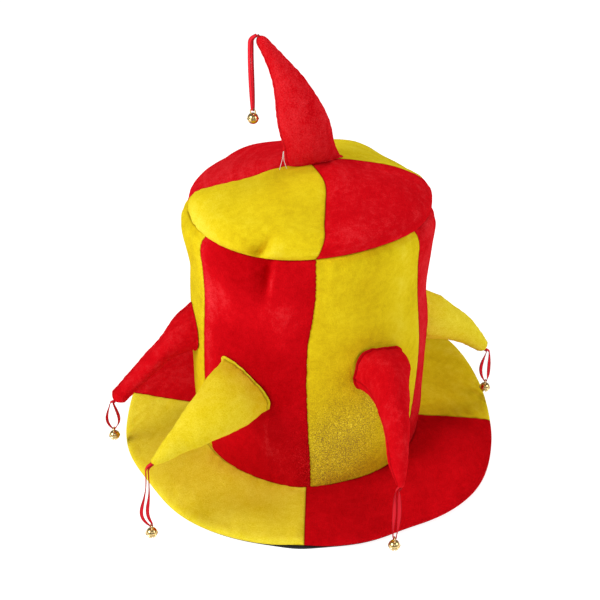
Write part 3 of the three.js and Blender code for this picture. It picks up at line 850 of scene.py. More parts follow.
@dataclass(frozen=True)
class Studio:
    """Camera, floor and light.

    Attributes:
        target: the place in the middle of the picture.
        distance: from the camera to the target.
        elevation: how far the camera looks down, in degrees.
        focal: the lens, in millimetres, on the sensor's width.
        sensor: the sensor's width, in millimetres.
        floor_half, floor_drop: how far the floor reaches each way, and lies under the hat.
        air_colour, air_strength: the light from all round.
    """

    target: Point = (-0.0077, 0.00876, 0.12457)
    distance: float = 1.1
    elevation: float = 31.0
    focal: float = 76.38
    sensor: float = 36.0
    floor_half: float = 40.0
    floor_drop: float = 0.0004
    air_colour: Colour = (1.0, 1.0, 1.0)
    air_strength: float = 0.22
    lamps: tuple[Lamp, ...] = (
        Lamp("key", (-1.3, -0.8, 1.1), 1.0, 25.0),
        Lamp("fill", (1.3, -0.5, 0.9), 0.8, 8.0),
        Lamp("top", (0.2, 0.4, 1.8), 0.6, 9.0),
        Lamp("front", (0.3, -1.7, 1.2), 1.0, 3.0),
    )

    def camera(self) -> None:
        """Sets the camera on the circle round the target, in front of the hat and above it."""
        lens = bpy.data.cameras.new("photo_camera")
        lens.lens = self.focal
        lens.sensor_width = self.sensor
        lens.sensor_fit = "HORIZONTAL"
        made = put("photo_camera", lens)
        lift = math.radians(self.elevation)
        back = Vector((0, -math.cos(lift), math.sin(lift)))
        place = Vector(self.target) + back * self.distance
        made.matrix_world = Matrix.Translation(place) @ back.to_track_quat("Z", "Y").to_matrix().to_4x4()
        bpy.context.scene.camera = made

    def floor(self) -> None:
        """Lays a pale floor just under the hat."""
        reach = self.floor_half
        corners = [(-reach, -reach), (reach, -reach), (reach, reach), (-reach, reach)]
        mesh = bpy.data.meshes.new("floor")
        mesh.from_pydata([(x, y, -self.floor_drop) for x, y in corners], [], [(0, 1, 2, 3)])
        mesh.materials.append(FloorFinish().material())
        put("floor", mesh)

    def build(self) -> None:
        """Sets the camera, floor, lamps and the pale air round them."""
        scene = bpy.context.scene
        self.camera()
        self.floor()
        for lamp in self.lamps:
            lamp.hang(self.target)
        world = bpy.data.worlds.new("pale_air")
        world.use_nodes = True
        air = world.node_tree.nodes["Background"]
        air.inputs["Color"].default_value = paint(self.air_colour)
        air.inputs["Strength"].default_value = self.air_strength
        scene.world = world
        scene.view_settings.view_transform = "Standard"
        scene.view_settings.look = "None"


@dataclass(frozen=True)
class Panel:
    """One cut of cloth between two seams.

    Attributes:
        node: the solid that it stands for.
        start: the angle of its left seam.
        end: the angle of its right seam.
        cloth: its colour.
        swell: how far it stands out between its seams.
        nap_and_painted_light: how much lighter its pile lies than usual, with painted light or painted shade
            over the whole panel.
    """

    node: str
    start: float
    end: float
    cloth: Cloth
    swell: float = 1.0
    nap_and_painted_light: float = 0.0

    def share(self, angle: Array) -> Array:
        """Gives the share of the panel's width at an angle, over 1 outside the panel."""
        return ((angle - self.start) % 360) / (self.end - self.start)

    def angle(self, across: Array, radius: Array) -> Array:
        """Gives the angle at a share of the width, with half the seam gap kept at each side."""
        margin = np.degrees(np.arcsin(SEAM_GAP / 2 / radius))
        return (self.start + margin) * (1 - across) + (self.end - margin) * across

    def width(self, radius: Array) -> Array:
        """Gives the panel's width along a circle."""
        return math.radians(self.end - self.start) * radius

    def from_seam(self, across: Array, radius: Array) -> Array:
        """Gives the distance to the nearer of the panel's two seams."""
        return np.minimum(across, 1 - across) * self.width(radius)


@dataclass(frozen=True)
class Dent:
    """A soft dent, or a bulge where its depth is below 0.

    Attributes:
        angle: its middle, round the crown.
        place: its middle, up the crown or in from the cap's edge.
        half_angle: how far it reaches each way round.
        half_place: how far it reaches each way up or in.
        depth: how deep it goes.
        slant: how many degrees it leans for each unit of place.
    """

    angle: float
    place: float
    half_angle: float
    half_place: float
    depth: float
    slant: float = 0.0

    def sink(self, angle: Array, place: Array) -> Array:
        """Gives the depth there: one bell curve across times one along."""
        along = place - self.place
        aside = turn(angle, self.angle) - self.slant * along
        return self.depth * hump(aside / self.half_angle) * hump(along / self.half_place)


def sunk(dents: tuple[Dent, ...], angle: Array, place: Array) -> Array:
    """Gives the depth of several dents together."""
    return sum((dent.sink(angle, place) for dent in dents), np.zeros(()))


@dataclass(frozen=True)
class Sewing:
    """How a seam pulls the cloth beside it.

    Attributes:
        pitch: the distance between two puckers along the seam.
        depth: how high the puckers are.
        reach: how far from the seam they run out.
        seed: shifts their uneven steps.
        tight: how close to the seam they start.
        shadow: how far the painted shade along the seam reaches.
    """

    pitch: float
    depth: float
    reach: float
    seed: float = 0.0
    tight: float = 0.0016
    shadow: float = 0.0007

    def pucker(self, along: Array, away: Array, shift: float = 0.0) -> Array:
        """Gives the puckers: an uneven wave along the seam that starts beside it and runs out."""
        swing = wave(along / self.pitch, self.seed + shift)
        return self.depth * swing * fade(away, self.reach) * grow(away, self.tight)

    def line(self, away: Array) -> Array:
        """Gives the mask of the painted shade along the seam."""
        return hump(away / self.shadow)


@dataclass(frozen=True)
class Crown:
    """The tall tube of six panels.

    Attributes:
        profile: the radius in the middle of a panel, by height.
        front_shift: how far the front seam wanders sideways, in degrees, by height.
        right_shift: how far the seam on the right wanders.
        left_shift: how far the seam on the left wanders.
        dents: its dents and folds.
        folds: finer folds, which the solid leaves out.
        worn: where its pile is thin, as dents of depth 1.
        naps_and_painted_light: where its pile lies lighter or darker, with painted highlights by its left
            seam and crease and painted shade in the crease, as dents of that depth.
        ragged: how far the pile along a seam strays over it.
        foot, top, rise_start: the heights of its ends, and of where its raised top edge starts.
    """

    foot: float = 0.0072
    top: float = 0.22
    rise_start: float = 0.12
    head_radius: float = 0.0945
    panel_angle: float = 60.0
    seam_depth: float = 0.0018
    columns: int = 64
    rows: int = 132
    crowd: float = 0.72
    profile: Curve = Curve(
        along=(0.0078, 0.03, 0.07, 0.115, 0.16, 0.19, 0.207, 0.215, 0.22),
        value=(0.0974, 0.0996, 0.1014, 0.1012, 0.0996, 0.101, 0.1028, 0.1014, 0.0976),
    )
    front_shift: Curve = Curve(CROWN_STEPS, (0.8, 0.5, -0.6, -1.5, -1.8, -1.2, 0.6, 2.3, 2.5))
    right_shift: Curve = Curve(CROWN_STEPS, (-0.8, 0.9, 3.4, 6.4, 7.2, 5.4, 3.4, 0.7, -2.2))
    left_shift: Curve = Curve(CROWN_STEPS, (-1.7, -1.7, -1.7, -1.6, -1.3, -0.8, -0.3, 0.9, 2.2))
    # Some panels are lightened or darkened as a whole: the pile's tone, with painted light.
    panels: tuple[Panel, ...] = (
        Panel("crown_front_left", -60, 0, Cloth.RED, nap_and_painted_light=-0.13),
        Panel("crown_front_right", 0, 60, Cloth.YELLOW, nap_and_painted_light=-0.1),
        Panel("crown_right", 60, 120, Cloth.RED),
        Panel("crown_back_right", 120, 180, Cloth.YELLOW),
        Panel("crown_back_left", -180, -120, Cloth.RED),
        Panel("crown_left", -120, -60, Cloth.YELLOW, nap_and_painted_light=-0.1),
    )
    dents: tuple[Dent, ...] = (
        Dent(-21, 0.206, 5, 0.02, 0.004, 80),
        Dent(-92, 0.203, 26, 0.022, -0.0034),
        Dent(-47, 0.175, 8, 0.055, 0.0024, 50),
        Dent(38, 0.188, 14, 0.026, 0.0022, 150),
        Dent(14, 0.062, 9, 0.038, 0.0026, -100),
        Dent(-12, 0.045, 7, 0.03, 0.002, 120),
        Dent(150, 0.18, 12, 0.034, 0.0028, -100),
        Dent(-152, 0.172, 9, 0.04, 0.0026, 100),
        Dent(-6, 0.006, 16, 0.016, -0.0044),
    )
    folds: tuple[Dent, ...] = (
        Dent(-19.2, 0.208, 1.6, 0.015, 0.0026, 90),
        Dent(-15.6, 0.206, 2.4, 0.014, -0.0012, 90),
        Dent(-20, 0.06, 2.2, 0.03, -0.0009, 20),
        Dent(-40, 0.165, 3.0, 0.03, 0.0009, 60),
        Dent(20, 0.15, 5.0, 0.012, -0.0009, 200),
        Dent(28, 0.14, 4.0, 0.008, 0.0008, 300),
        Dent(88, 0.17, 4.0, 0.03, 0.001, 90),
        Dent(165, 0.06, 4.0, 0.03, 0.0011, -90),
        Dent(-168, 0.07, 4.0, 0.028, 0.0011, 110),
        Dent(-100, 0.06, 4.0, 0.03, 0.001, 80),
    )
    worn: tuple[Dent, ...] = (
        Dent(18, 0.048, 18, 0.05, 1.0),
        Dent(5, 0.03, 9, 0.035, 0.6),
        Dent(30, 0.095, 6, 0.03, 0.5),
        Dent(-70, 0.16, 12, 0.04, 0.25),
    )
    # Painted highlights by the left seam and beside the crease, and painted shade in the crease.
    naps_and_painted_light: tuple[Dent, ...] = (
        Dent(-56, 0.15, 5, 0.09, 0.3),
        Dent(-36, 0.205, 10, 0.022, -0.14),
        Dent(-44, 0.178, 8, 0.022, 0.2),
        Dent(-14, 0.172, 12, 0.022, 0.17),
        Dent(-12, 0.1, 12, 0.035, -0.16),
        Dent(-30, 0.14, 12, 0.04, -0.07),
        Dent(-12, 0.045, 12, 0.045, 0.1),
        Dent(72, 0.13, 9, 0.13, 0.2),
        Dent(48, 0.17, 8, 0.07, 0.15),
        Dent(-20.4, 0.206, 1.5, 0.018, -0.38, 90),
        Dent(-23.2, 0.206, 4.0, 0.016, -0.2, 90),
        Dent(-16.8, 0.205, 1.0, 0.016, 0.3, 90),
        Dent(-20.5, 0.06, 0.9, 0.03, 0.14, 20),
    )
    ragged: float = 0.00035
    ragged_pitch: float = 0.0045
    ragged_reach: float = 0.004
    side_seam: Sewing = Sewing(pitch=0.012, depth=0.0005, reach=0.009, seed=1.0)
    top_seam: Sewing = Sewing(pitch=0.016, depth=0.0009, reach=0.017, seed=2.0)
    foot_seam: Sewing = Sewing(pitch=0.018, depth=0.0008, reach=0.012, seed=3.0)
    side_room: float = 0.01
    end_room: float = 0.012
    lump_size: float = 0.062
    lump_depth: float = 0.0008
    lump_seed: float = 4.0

    def shift(self, angle: Array, height: Array) -> Array:
        """Gives how far the cloth is moved round with the front, right and left seams."""
        front = self.front_shift.at(height) * near_seam(angle, 0)
        right = self.right_shift.at(height) * near_seam(angle, self.panel_angle)
        return front + right + self.left_shift.at(height) * near_seam(angle, -self.panel_angle)

    def plain_height(self, angle: Array, height: Array) -> Array:
        """Gives the height on the plain profile, before the top edge was raised."""
        upper = (height - self.rise_start) / (self.top + top_rise(angle) - self.rise_start)
        return height - top_rise(angle) * np.clip(upper, 0, 1) ** 2

    def radius(self, angle: Array, height: Array) -> Array:
        """Gives the solid's outer radius: the profile, less each seam's hollow and the dents.

        Args:
            angle: round the crown.
            height: above the floor.

        Returns:
            The radius there.
        """
        across = ((angle - self.shift(angle, height)) % self.panel_angle) / self.panel_angle
        profile = self.profile.at(self.plain_height(angle, height))
        return profile - self.seam_depth * (1 - puff(across)) - sunk(self.dents, angle, height)

    def sewn_relief(self, angle: Array, height: Array, away: Array, horns: tuple["Horn", ...]) -> Array:
        """Gives the fine relief: puckers by each seam, soft lumps, folds, and the pull round the horns.

        Args:
            angle: round the crown.
            height: above the floor.
            away: distance from the nearest upright seam.
            horns: what is sewn on.

        Returns:
            How far the cloth stands out from the plain radius.
        """
        round_crown = np.radians(angle) * CROWN_MIDDLE_RADIUS
        from_top = self.top + top_rise(angle) - height
        from_foot = height - self.foot
        relief = self.side_seam.pucker(height, away)
        relief += self.top_seam.pucker(round_crown, from_top)
        relief += self.foot_seam.pucker(round_crown, from_foot)
        free = grow(away, self.side_room) * grow(from_top, self.end_room) * grow(from_foot, self.end_room)
        soft = lumps(polar(angle, CROWN_MIDDLE_RADIUS, height), self.lump_size, self.lump_seed)
        relief += free * self.lump_depth * soft - sunk(self.folds, angle, height)
        return relief + sum(horn.pull(angle, height) for horn in horns if horn.height is not None)

    def panel_shape(self, panel: Panel, horns: tuple["Horn", ...]) -> Shape:
        """Works out one panel on a grid of shares across and up, crowded towards its seams.

        Args:
            panel: which panel.
            horns: what is sewn on the crown.

        Returns:
            The panel as a wall of cloth.
        """
        across, up = np.meshgrid(spread(self.columns, self.crowd), spread(self.rows, self.crowd))
        sewn = panel.angle(across, self.head_radius)
        top = self.top + top_rise(sewn + self.shift(sewn, self.top))
        height = self.foot + (top - self.foot) * up
        away = panel.from_seam(across, CROWN_MIDDLE_RADIUS)
        seam = np.where(across < 0.5, panel.start % 360, panel.end % 360)
        stray = wave(height / self.ragged_pitch, seam) * fade(away, self.ragged_reach)
        angle = sewn + self.shift(sewn, height) + np.degrees(stray * self.ragged / self.head_radius)
        plain = self.radius(angle, height)
        outer = plain + self.sewn_relief(angle, height, away, horns)
        nearest = np.minimum(np.minimum(away, top - height), height - self.foot)
        # Painted shade along the seams, the top edge and the foot.
        marks = {
            "seam": self.side_seam.line(nearest),
            "worn": np.clip(sunk(self.worn, angle, height), 0, 1),
            "nap_and_painted_light": panel.nap_and_painted_light + sunk(self.naps_and_painted_light, angle, height),
        }
        cut = joined(across * panel.width(CROWN_MIDDLE_RADIUS) + panel.start, height)
        inside = polar(angle, plain - CLOTH_THICK, height)
        return wall(polar(angle, outer, height), inside, cut, marks)

    def build(self, horns: tuple["Horn", ...]) -> None:
        """Makes the six panels.

        Args:
            horns: what is sewn on.
        """
        for panel in self.panels:
            shape = self.panel_shape(panel, horns)
            made = add_piece(f"{panel.node}_cloth", shape, PLUSH[panel.cloth], panel.node)
            flat = (panel.width(CROWN_MIDDLE_RADIUS), self.top - self.foot)


@dataclass(frozen=True)
class Cap:
    """The puffy top of four panels, from its edge seam in to its middle.

    Attributes:
        seam_radius: the outline along a seam, by the share of the way in.
        seam_rise: its height there above the edge.
        crest_radius: the outline along the middle of a panel.
        crest_rise: its height there above the edge.
        front_shift: how far the front seam wanders sideways, in degrees, by the share of the way in.
        right_shift: how far the right seam wanders.
        edge_height, length: the height of its edge, and the way from there to its middle.
        naps_and_painted_light: where its pile lies lighter or darker, with a painted highlight at its lit
            left end and painted shade in its crease, as dents of that depth.
        wedge: the share of its width and length that a panel's cut takes; not used.
    """

    edge_height: float = 0.2203
    edge_share: float = 0.1
    top_share: float = 0.5
    middle_share: float = 0.3
    halvings: int = 24
    seam_tries: int = 8
    length: float = 0.132
    columns: int = 88
    rows: int = 84
    crowd: float = 0.7
    row_crowd: float = 0.45
    seam_radius: Curve = Curve(CAP_STEPS, (0.0974, 0.0986, 0.097, 0.09, 0.074, 0.05, 0.027, CAP_HOLE))
    seam_rise: Curve = Curve(CAP_STEPS, (0.0, 0.005, 0.0115, 0.017, 0.021, 0.026, 0.034, 0.0385))
    crest_radius: Curve = Curve(CAP_STEPS, (0.0976, 0.1008, 0.1008, 0.0935, 0.0755, 0.051, 0.027, CAP_HOLE))
    crest_rise: Curve = Curve(CAP_STEPS, (0.0, 0.005, 0.0125, 0.0215, 0.0275, 0.032, 0.0365, 0.039))
    panels: tuple[Panel, ...] = (
        Panel("cap_front_left", -86, 4, Cloth.YELLOW, 1.0, -0.06),
        Panel("cap_front_right", 4, 107, Cloth.RED, 1.0),
        Panel("cap_back_right", 107, 184, Cloth.YELLOW, 0.85),
        Panel("cap_back_left", 184, 274, Cloth.RED, 0.7),
    )
    front_shift: Curve = Curve(CAP_SEAM_STEPS, (-1.5, 3.0, 4.5, 10.0, 20.0, 24.0))
    right_shift: Curve = Curve(CAP_SEAM_STEPS, (-10.0, -8.0, -3.0, 4.0, 10.0, 12.0))
    shallow_angle: float = 107.0
    shallow_half: float = 26.0
    shallow_share: float = 0.85
    dents: tuple[Dent, ...] = (
        Dent(-24, 0.2, 5, 0.2, 0.0045),
        Dent(-62, 0.3, 9, 0.25, 0.003),
        Dent(52, 0.28, 10, 0.2, 0.0025),
        Dent(140, 0.3, 9, 0.25, 0.003),
        Dent(128, 0.34, 24, 0.2, 0.007),
        Dent(-125, 0.38, 34, 0.25, 0.0045),
    )
    folds: tuple[Dent, ...] = (
        Dent(-22.6, 0.14, 2.0, 0.17, 0.0042, 9),
        Dent(-16.5, 0.12, 4.0, 0.13, -0.003, 9),
        Dent(-44, 0.35, 3.0, 0.2, 0.0008, 10),
        Dent(30, 0.2, 3.0, 0.12, 0.0009, -14),
        Dent(78, 0.3, 4.0, 0.16, 0.001, 12),
        Dent(150, 0.2, 3.0, 0.14, 0.001, 10),
        Dent(-130, 0.22, 3.0, 0.14, 0.001, 10),
    )
    # A painted highlight at the lit left end, and painted shade in the crease.
    naps_and_painted_light: tuple[Dent, ...] = (
        Dent(-62, 0.1, 14, 0.2, 0.3),
        Dent(-100, 0.5, 40, 0.5, 0.1),
        Dent(-22.9, 0.14, 1.4, 0.17, -0.34, 9),
        Dent(-26, 0.12, 4.0, 0.18, -0.2, 9),
        Dent(-15, 0.14, 5.0, 0.14, 0.12, 9),
    )
    fold_start: float = 0.03
    edge_seam: Sewing = Sewing(pitch=0.015, depth=0.0009, reach=0.014, seed=6.0)
    panel_seam: Sewing = Sewing(pitch=0.013, depth=0.0006, reach=0.01, seed=7.0)
    # How dark the painted shade along the edge seam is.
    edge_seam_shade: float = 0.4
    room: float = 0.01
    lump_end: int = 6
    relief_end: int = 8
    lump_size: float = 0.055
    lump_depth: float = 0.0009
    lump_seed: float = 8.0
    wedge: float = 0.6

    def shift(self, sewn: Array, share: Array) -> Array:
        """Gives how far the cloth is moved round with the front and right seams."""
        front = self.front_shift.at(share) * near_seam(sewn, self.panels[0].end)
        return front + self.right_shift.at(share) * near_seam(sewn, self.panels[1].end)

    def outline(self, sewn: Array, share: Array) -> tuple[Array, Array]:
        """Gives the solid's outer radius and height: from the seam's outline to the crest's, less the dents.

        Args:
            sewn: the angle round the cap, before the seams wander.
            share: of the way from the edge to the middle.

        Returns:
            The radius and the height.
        """
        swell = self.shallow_share * hump(turn(sewn, self.shallow_angle) / self.shallow_half)
        for panel in self.panels:
            across = panel.share(sewn)
            swell = np.maximum(swell, np.where(across <= 1, panel.swell * puff(across), 0))
        dented = sunk(self.dents, sewn, share) * ramp(share, self.edge_share)
        radius = self.seam_radius.at(share) * (1 - swell) + self.crest_radius.at(share) * swell
        rise = self.seam_rise.at(share) * (1 - swell) + self.crest_rise.at(share) * swell
        seat = self.edge_height + top_rise(sewn + self.shift(sewn, share)) * (1 - share) ** 2
        return radius - dented * (1 - share), seat + rise - dented * share

    def height_over(self, x: Array, y: Array) -> Array:
        """Gives the height of the cap's top over a place near its middle, by halving the share.

        Args:
            x: the place, to the right.
            y: the place, to the back.

        Returns:
            The height there.
        """
        angle = np.degrees(np.arctan2(x, -y))
        away = np.hypot(x, y)
        low = np.full(np.shape(away), self.middle_share)
        high = np.ones(np.shape(away))
        for _ in range(self.halvings):
            middle = (low + high) / 2
            outside = self.outline(self.sewn_at(angle, middle), middle)[0] > away
            low = np.where(outside, middle, low)
            high = np.where(outside, high, middle)
        return self.outline(self.sewn_at(angle, low), low)[1]

    def sewn_at(self, angle: Array, share: Array) -> Array:
        """Finds the angle before the seams wander, a little closer with each try.

        Args:
            angle: round the cap, after the seams wander.
            share: of the way in.

        Returns:
            The angle before.
        """
        sewn = angle
        for _ in range(self.seam_tries):
            sewn = angle - self.shift(sewn, share)
        return sewn

    def panel_shape(self, panel: Panel) -> Shape:
        """Works out one panel on a grid of shares across and in; the relief goes along the outward lean.

        Args:
            panel: which panel.

        Returns:
            The panel as a wall of cloth.
        """
        across, share = np.meshgrid(spread(self.columns, self.crowd), spread(self.rows, self.row_crowd))
        middle = np.full_like(share, (panel.start + panel.end) / 2)
        sewn = panel.angle(across, self.outline(middle, share)[0])
        radius, height = self.outline(sewn, share)
        angle = sewn + self.shift(sewn, share)
        away = panel.from_seam(across, radius)
        from_edge = share * self.length
        relief = self.edge_seam.pucker(np.radians(angle) * CROWN_MIDDLE_RADIUS, from_edge)
        relief += self.panel_seam.pucker(from_edge, away)
        free = grow(away, self.room) * grow(from_edge, self.room) * (1 - share**self.lump_end)
        soft = lumps(polar(angle, radius, height), self.lump_size, self.lump_seed)
        relief += free * self.lump_depth * soft
        relief -= sunk(self.folds, sewn, share) * ramp(share, self.fold_start)
        relief *= 1 - share**self.relief_end
        lean = (np.pi / 2) * ramp(share, self.top_share)
        outside = polar(angle, radius + relief * np.cos(lean), height + relief * np.sin(lean))
        inwards = np.minimum(CLOTH_THICK * np.cos(lean), radius - CAP_HOLE)
        inside = polar(angle, radius - inwards, height - CLOTH_THICK * np.sin(lean))
        # Painted shade along the panel seams and, fainter, along the edge seam.
        marks = {
            "seam": np.maximum(self.panel_seam.line(away), self.edge_seam_shade * self.edge_seam.line(from_edge)),
            "worn": np.zeros_like(share),
            "nap_and_painted_light": panel.nap_and_painted_light + sunk(self.naps_and_painted_light, sewn, share),
        }
        cut = joined(np.radians(sewn) * radius + panel.start, from_edge)
        return wall(outside, inside, cut, marks)

    def build(self) -> None:
        """Makes the four panels."""
        for panel in self.panels:
            made = add_piece(f"{panel.node}_cloth", self.panel_shape(panel), PLUSH[panel.cloth], panel.node)
            width = panel.width(CROWN_MIDDLE_RADIUS)


@dataclass(frozen=True)
class Brim:
    """The padded brim of four panels, with a thin facing under it.

    Attributes:
        dents: where the edge strays from an even oval.
        right_shift: how far the right seam wanders round, in degrees, by the share of the way out.
        left_shift: how far the left seam wanders.
        lift: how far the edge turns up, by the angle from the front.
        padding: the thickness across the brim, as a share of the full one.
        pull_angle, pull_half, pull_depth: where and how far the front seam pulls the edge in.
        half_width, half_depth, squareness: its oval outline.
        roll_share: the share of the way out where its rolled edge starts.
    """

    inner_radius: float = 0.0945
    half_width: float = 0.164
    half_depth: float = 0.1695
    squareness: float = 2.12
    thick: float = 0.006
    edge_rise: float = 0.0018
    edge_power: int = 8
    facing_thick: float = 0.0012
    facing_inset: float = 0.003
    columns: int = 112
    rows: int = 52
    crowd: float = 0.6
    row_crowd: float = 0.75
    facing_columns: int = 240
    facing_rows: int = 24
    roll_share: float = 0.88
    edge_thick: float = 0.3
    dents: tuple[Dent, ...] = (
        Dent(-56, 1, 15, 1, 0.006),
        Dent(28, 1, 9, 1, 0.0035),
        Dent(55, 1, 14, 1, -0.003),
    )
    right_shift: Curve = Curve((0.0, 1.0), (2.2, -2.2))
    left_shift: Curve = Curve((0.0, 1.0), (-2.6, -0.2))
    lift: Curve = Curve((0.0, 86.0, 105.0, 128.0, 155.0, 180.0), (0.0, 0.0, 0.008, 0.019, 0.015, 0.012))
    padding: Curve = Curve((0.0, 0.25, 0.6, 0.88, 1.0), (0.9, 1.0, 1.08, 1.0, 0.3))
    # The front pads are lightened or darkened as a whole: the pile's tone, with painted light on the shaded
    # front.
    panels: tuple[Panel, ...] = (
        Panel("brim_front_left", -100, -1.5, Cloth.YELLOW, nap_and_painted_light=0.16),
        Panel("brim_front_right", -1.5, 90, Cloth.RED, nap_and_painted_light=-0.15),
        Panel("brim_back_right", 90, 180, Cloth.YELLOW),
        Panel("brim_back_left", -180, -100, Cloth.RED),
    )
    pull_angle: float = -3.0
    pull_half: float = 6.0
    pull_depth: float = 0.002
    seam_depth: float = 0.0013
    seam_reach: float = 0.0024
    groove_start: float = 0.0048
    groove_rise: float = 0.006
    groove_end: float = 0.01
    panel_seam: Sewing = Sewing(pitch=0.014, depth=0.0006, reach=0.01, seed=9.0)
    edge_seam: Sewing = Sewing(pitch=0.021, depth=0.0008, reach=0.016, seed=10.0)
    crown_seam: Sewing = Sewing(pitch=0.017, depth=0.0007, reach=0.012, seed=11.0)
    crown_line: float = 0.003
    room: float = 0.012
    crown_room: float = 0.01
    lump_size: float = 0.05
    lump_depth: float = 0.0009
    lump_seed: float = 12.0
    fill: float = 0.35

    def edge(self, angle: Array) -> Array:
        """Gives the brim's outer radius: an oval a little squarer than an ellipse, less its dents.

        Args:
            angle: round the crown.

        Returns:
            The radius there.
        """
        sideways = np.abs(np.sin(np.radians(angle)) / self.half_width) ** self.squareness
        lengthways = np.abs(np.cos(np.radians(angle)) / self.half_depth) ** self.squareness
        oval = (sideways + lengthways) ** (-1 / self.squareness)
        return oval - sunk(self.dents, angle, 1.0)

    def shift(self, angle: Array, out: Array) -> Array:
        """Gives how far the cloth is moved round with the right and left seams."""
        right = self.right_shift.at(out) * near_seam(angle, self.panels[1].end)
        return right + self.left_shift.at(out) * near_seam(angle, self.panels[0].start)

    def pull(self, angle: Array) -> Array:
        """Gives how far the front seam pulls the edge in."""
        return self.pull_depth * hump(turn(angle, self.pull_angle) / self.pull_half)

    def raised(self, angle: Array, out: Array) -> Array:
        """Gives how far the brim is turned up: the edge's lift times the square of the way out."""
        return np.clip(self.lift.at(np.abs(turn(angle, 0))), 0, None) * out**2

    def panel_shape(self, panel: Panel) -> Shape:
        """Works out one panel on a grid of shares across and out: an underside, and a top over its padding.

        Args:
            panel: which panel.

        Returns:
            The panel as a closed pad with a rolled edge.
        """
        across, out = np.meshgrid(spread(self.columns, self.crowd), spread(self.rows, self.row_crowd))
        sewn = panel.angle(across, self.inner_radius)
        angle = sewn + self.shift(sewn, out)
        outer = self.edge(angle) - self.pull(angle)
        radius = self.inner_radius + (outer - self.inner_radius) * out
        raised = self.raised(angle, out) + self.edge_rise * out**self.edge_power
        under = self.facing_thick + FACING_GAP + raised
        rolled = ramp(out - self.roll_share, 1 - self.roll_share)
        roll = self.edge_thick + (1 - self.edge_thick) * np.sqrt(1 - rolled**2)
        share = np.where(out < self.roll_share, self.padding.at(out), roll)
        away = panel.from_seam(across, radius)
        from_edge = (1 - out) * (outer - self.inner_radius)
        from_crown = radius - self.inner_radius
        round_edge = np.radians(angle) * radius
        relief = self.panel_seam.pucker(from_edge, away)
        relief += self.edge_seam.pucker(round_edge, from_edge)
        relief += self.crown_seam.pucker(round_edge, from_crown)
        free = grow(away, self.room) * grow(from_edge, self.room) * grow(from_crown, self.crown_room)
        soft = lumps(polar(angle, radius, under), self.lump_size, self.lump_seed)
        relief += free * self.lump_depth * soft
        groove = ramp(from_edge, self.groove_end) * ramp(from_crown - self.groove_start, self.groove_rise)
        relief -= self.seam_depth * fade(away, self.seam_reach) * groove
        top = polar(angle, radius, under + self.thick * share + relief)
        # Painted shade along the panel seams and along a line by the crown seam.
        marks = {
            "seam": self.panel_seam.line(np.minimum(away, np.abs(from_crown - self.crown_line))),
            "worn": np.zeros_like(out),
            "nap_and_painted_light": np.full_like(out, panel.nap_and_painted_light),
        }
        cut = joined(round_edge + panel.start, from_crown)
        return wall(polar(angle, radius, under), top, cut, marks)

    def facing_shape(self) -> Shape:
        """Works out the facing on a grid of shares round and out: a thin ring just inside the brim's edge.

        Returns:
            The facing as a closed ring.
        """
        turns = np.linspace(-180, 180, self.facing_columns, endpoint=False)
        angle, out = np.meshgrid(turns, np.linspace(0, 1, self.facing_rows))
        edge = self.edge(angle)
        rim = edge - (self.facing_inset - self.pull(angle))
        radius = self.inner_radius + (rim - self.inner_radius) * out
        rise = self.raised(angle, (radius - self.inner_radius) / (edge - self.inner_radius))
        cut = joined(np.radians(angle) * radius, radius)
        upper = polar(angle, radius, rise + self.facing_thick)
        return wall(polar(angle, radius, rise), upper, cut, {}, wrap=True)

    def build(self) -> None:
        """Makes the four pads and the facing that lies under them."""
        for panel in self.panels:
            made = add_piece(f"{panel.node}_pad", self.panel_shape(panel), PLUSH[panel.cloth], panel.node)
        facing = add_piece("brim_facing_cloth", self.facing_shape(), FacingFinish(), "brim_facing")


@dataclass(frozen=True)
class CrownSeat:
    """A horn's seat on the side of the crown."""

    crown: Crown
    angle: float
    height: float

    def axes(self) -> tuple[Array, Array, Array]:
        """Gives the directions out of the crown, to its right and up."""
        return polar(self.angle, 1.0, 0.0), polar(self.angle + 90, 1.0, 0.0), UP

    def place(self, aside: Array, upwards: Array, gap: float) -> Array:
        """Gives points on the crown, so far from the seat's middle.

        Args:
            aside: how far to the right.
            upwards: how far up.
            gap: how far off the cloth.

        Returns:
            The points.
        """
        reach = self.crown.radius(self.angle, self.height)
        angle = self.angle + np.degrees(aside / reach)
        height = self.height + upwards
        return polar(angle, self.crown.radius(angle, height) + gap, height)

    def clear(self, points: Array, room: Array) -> Array:
        """Moves points that are nearer the crown than the room out to it.

        Args:
            points: the places.
            room: the least distance for each.

        Returns:
            The points, moved.
        """
        angle = np.degrees(np.arctan2(points[..., 0], -points[..., 1]))
        away = np.hypot(points[..., 0], points[..., 1])
        least = self.crown.radius(angle, points[..., 2]) + room
        return polar(angle, np.maximum(away, least), points[..., 2])


@dataclass(frozen=True)
class CapSeat:
    """A horn's seat on top of the cap, a little off its middle."""

    cap: Cap
    offset: tuple[float, float] = (0.0, 0.006)

    def axes(self) -> tuple[Array, Array, Array]:
        """Gives the directions up from the cap, to its right and to its back."""
        return UP, np.array([1.0, 0.0, 0.0]), np.array([0.0, 1.0, 0.0])

    def place(self, aside: Array, upwards: Array, gap: float) -> Array:
        """Gives points on the cap, so far aside and back from the seat's middle and a gap above it."""
        x = aside + self.offset[0]
        y = upwards + self.offset[1]
        return joined(x, y, self.cap.height_over(x, y) + gap)

    def clear(self, points: Array, room: Array) -> Array:
        """Moves points that are lower than the room above the cap up to it."""
        least = self.cap.height_over(points[..., 0], points[..., 1]) + room
        return np.concatenate([points[..., :2], np.maximum(points[..., 2], least)[..., None]], axis=-1)


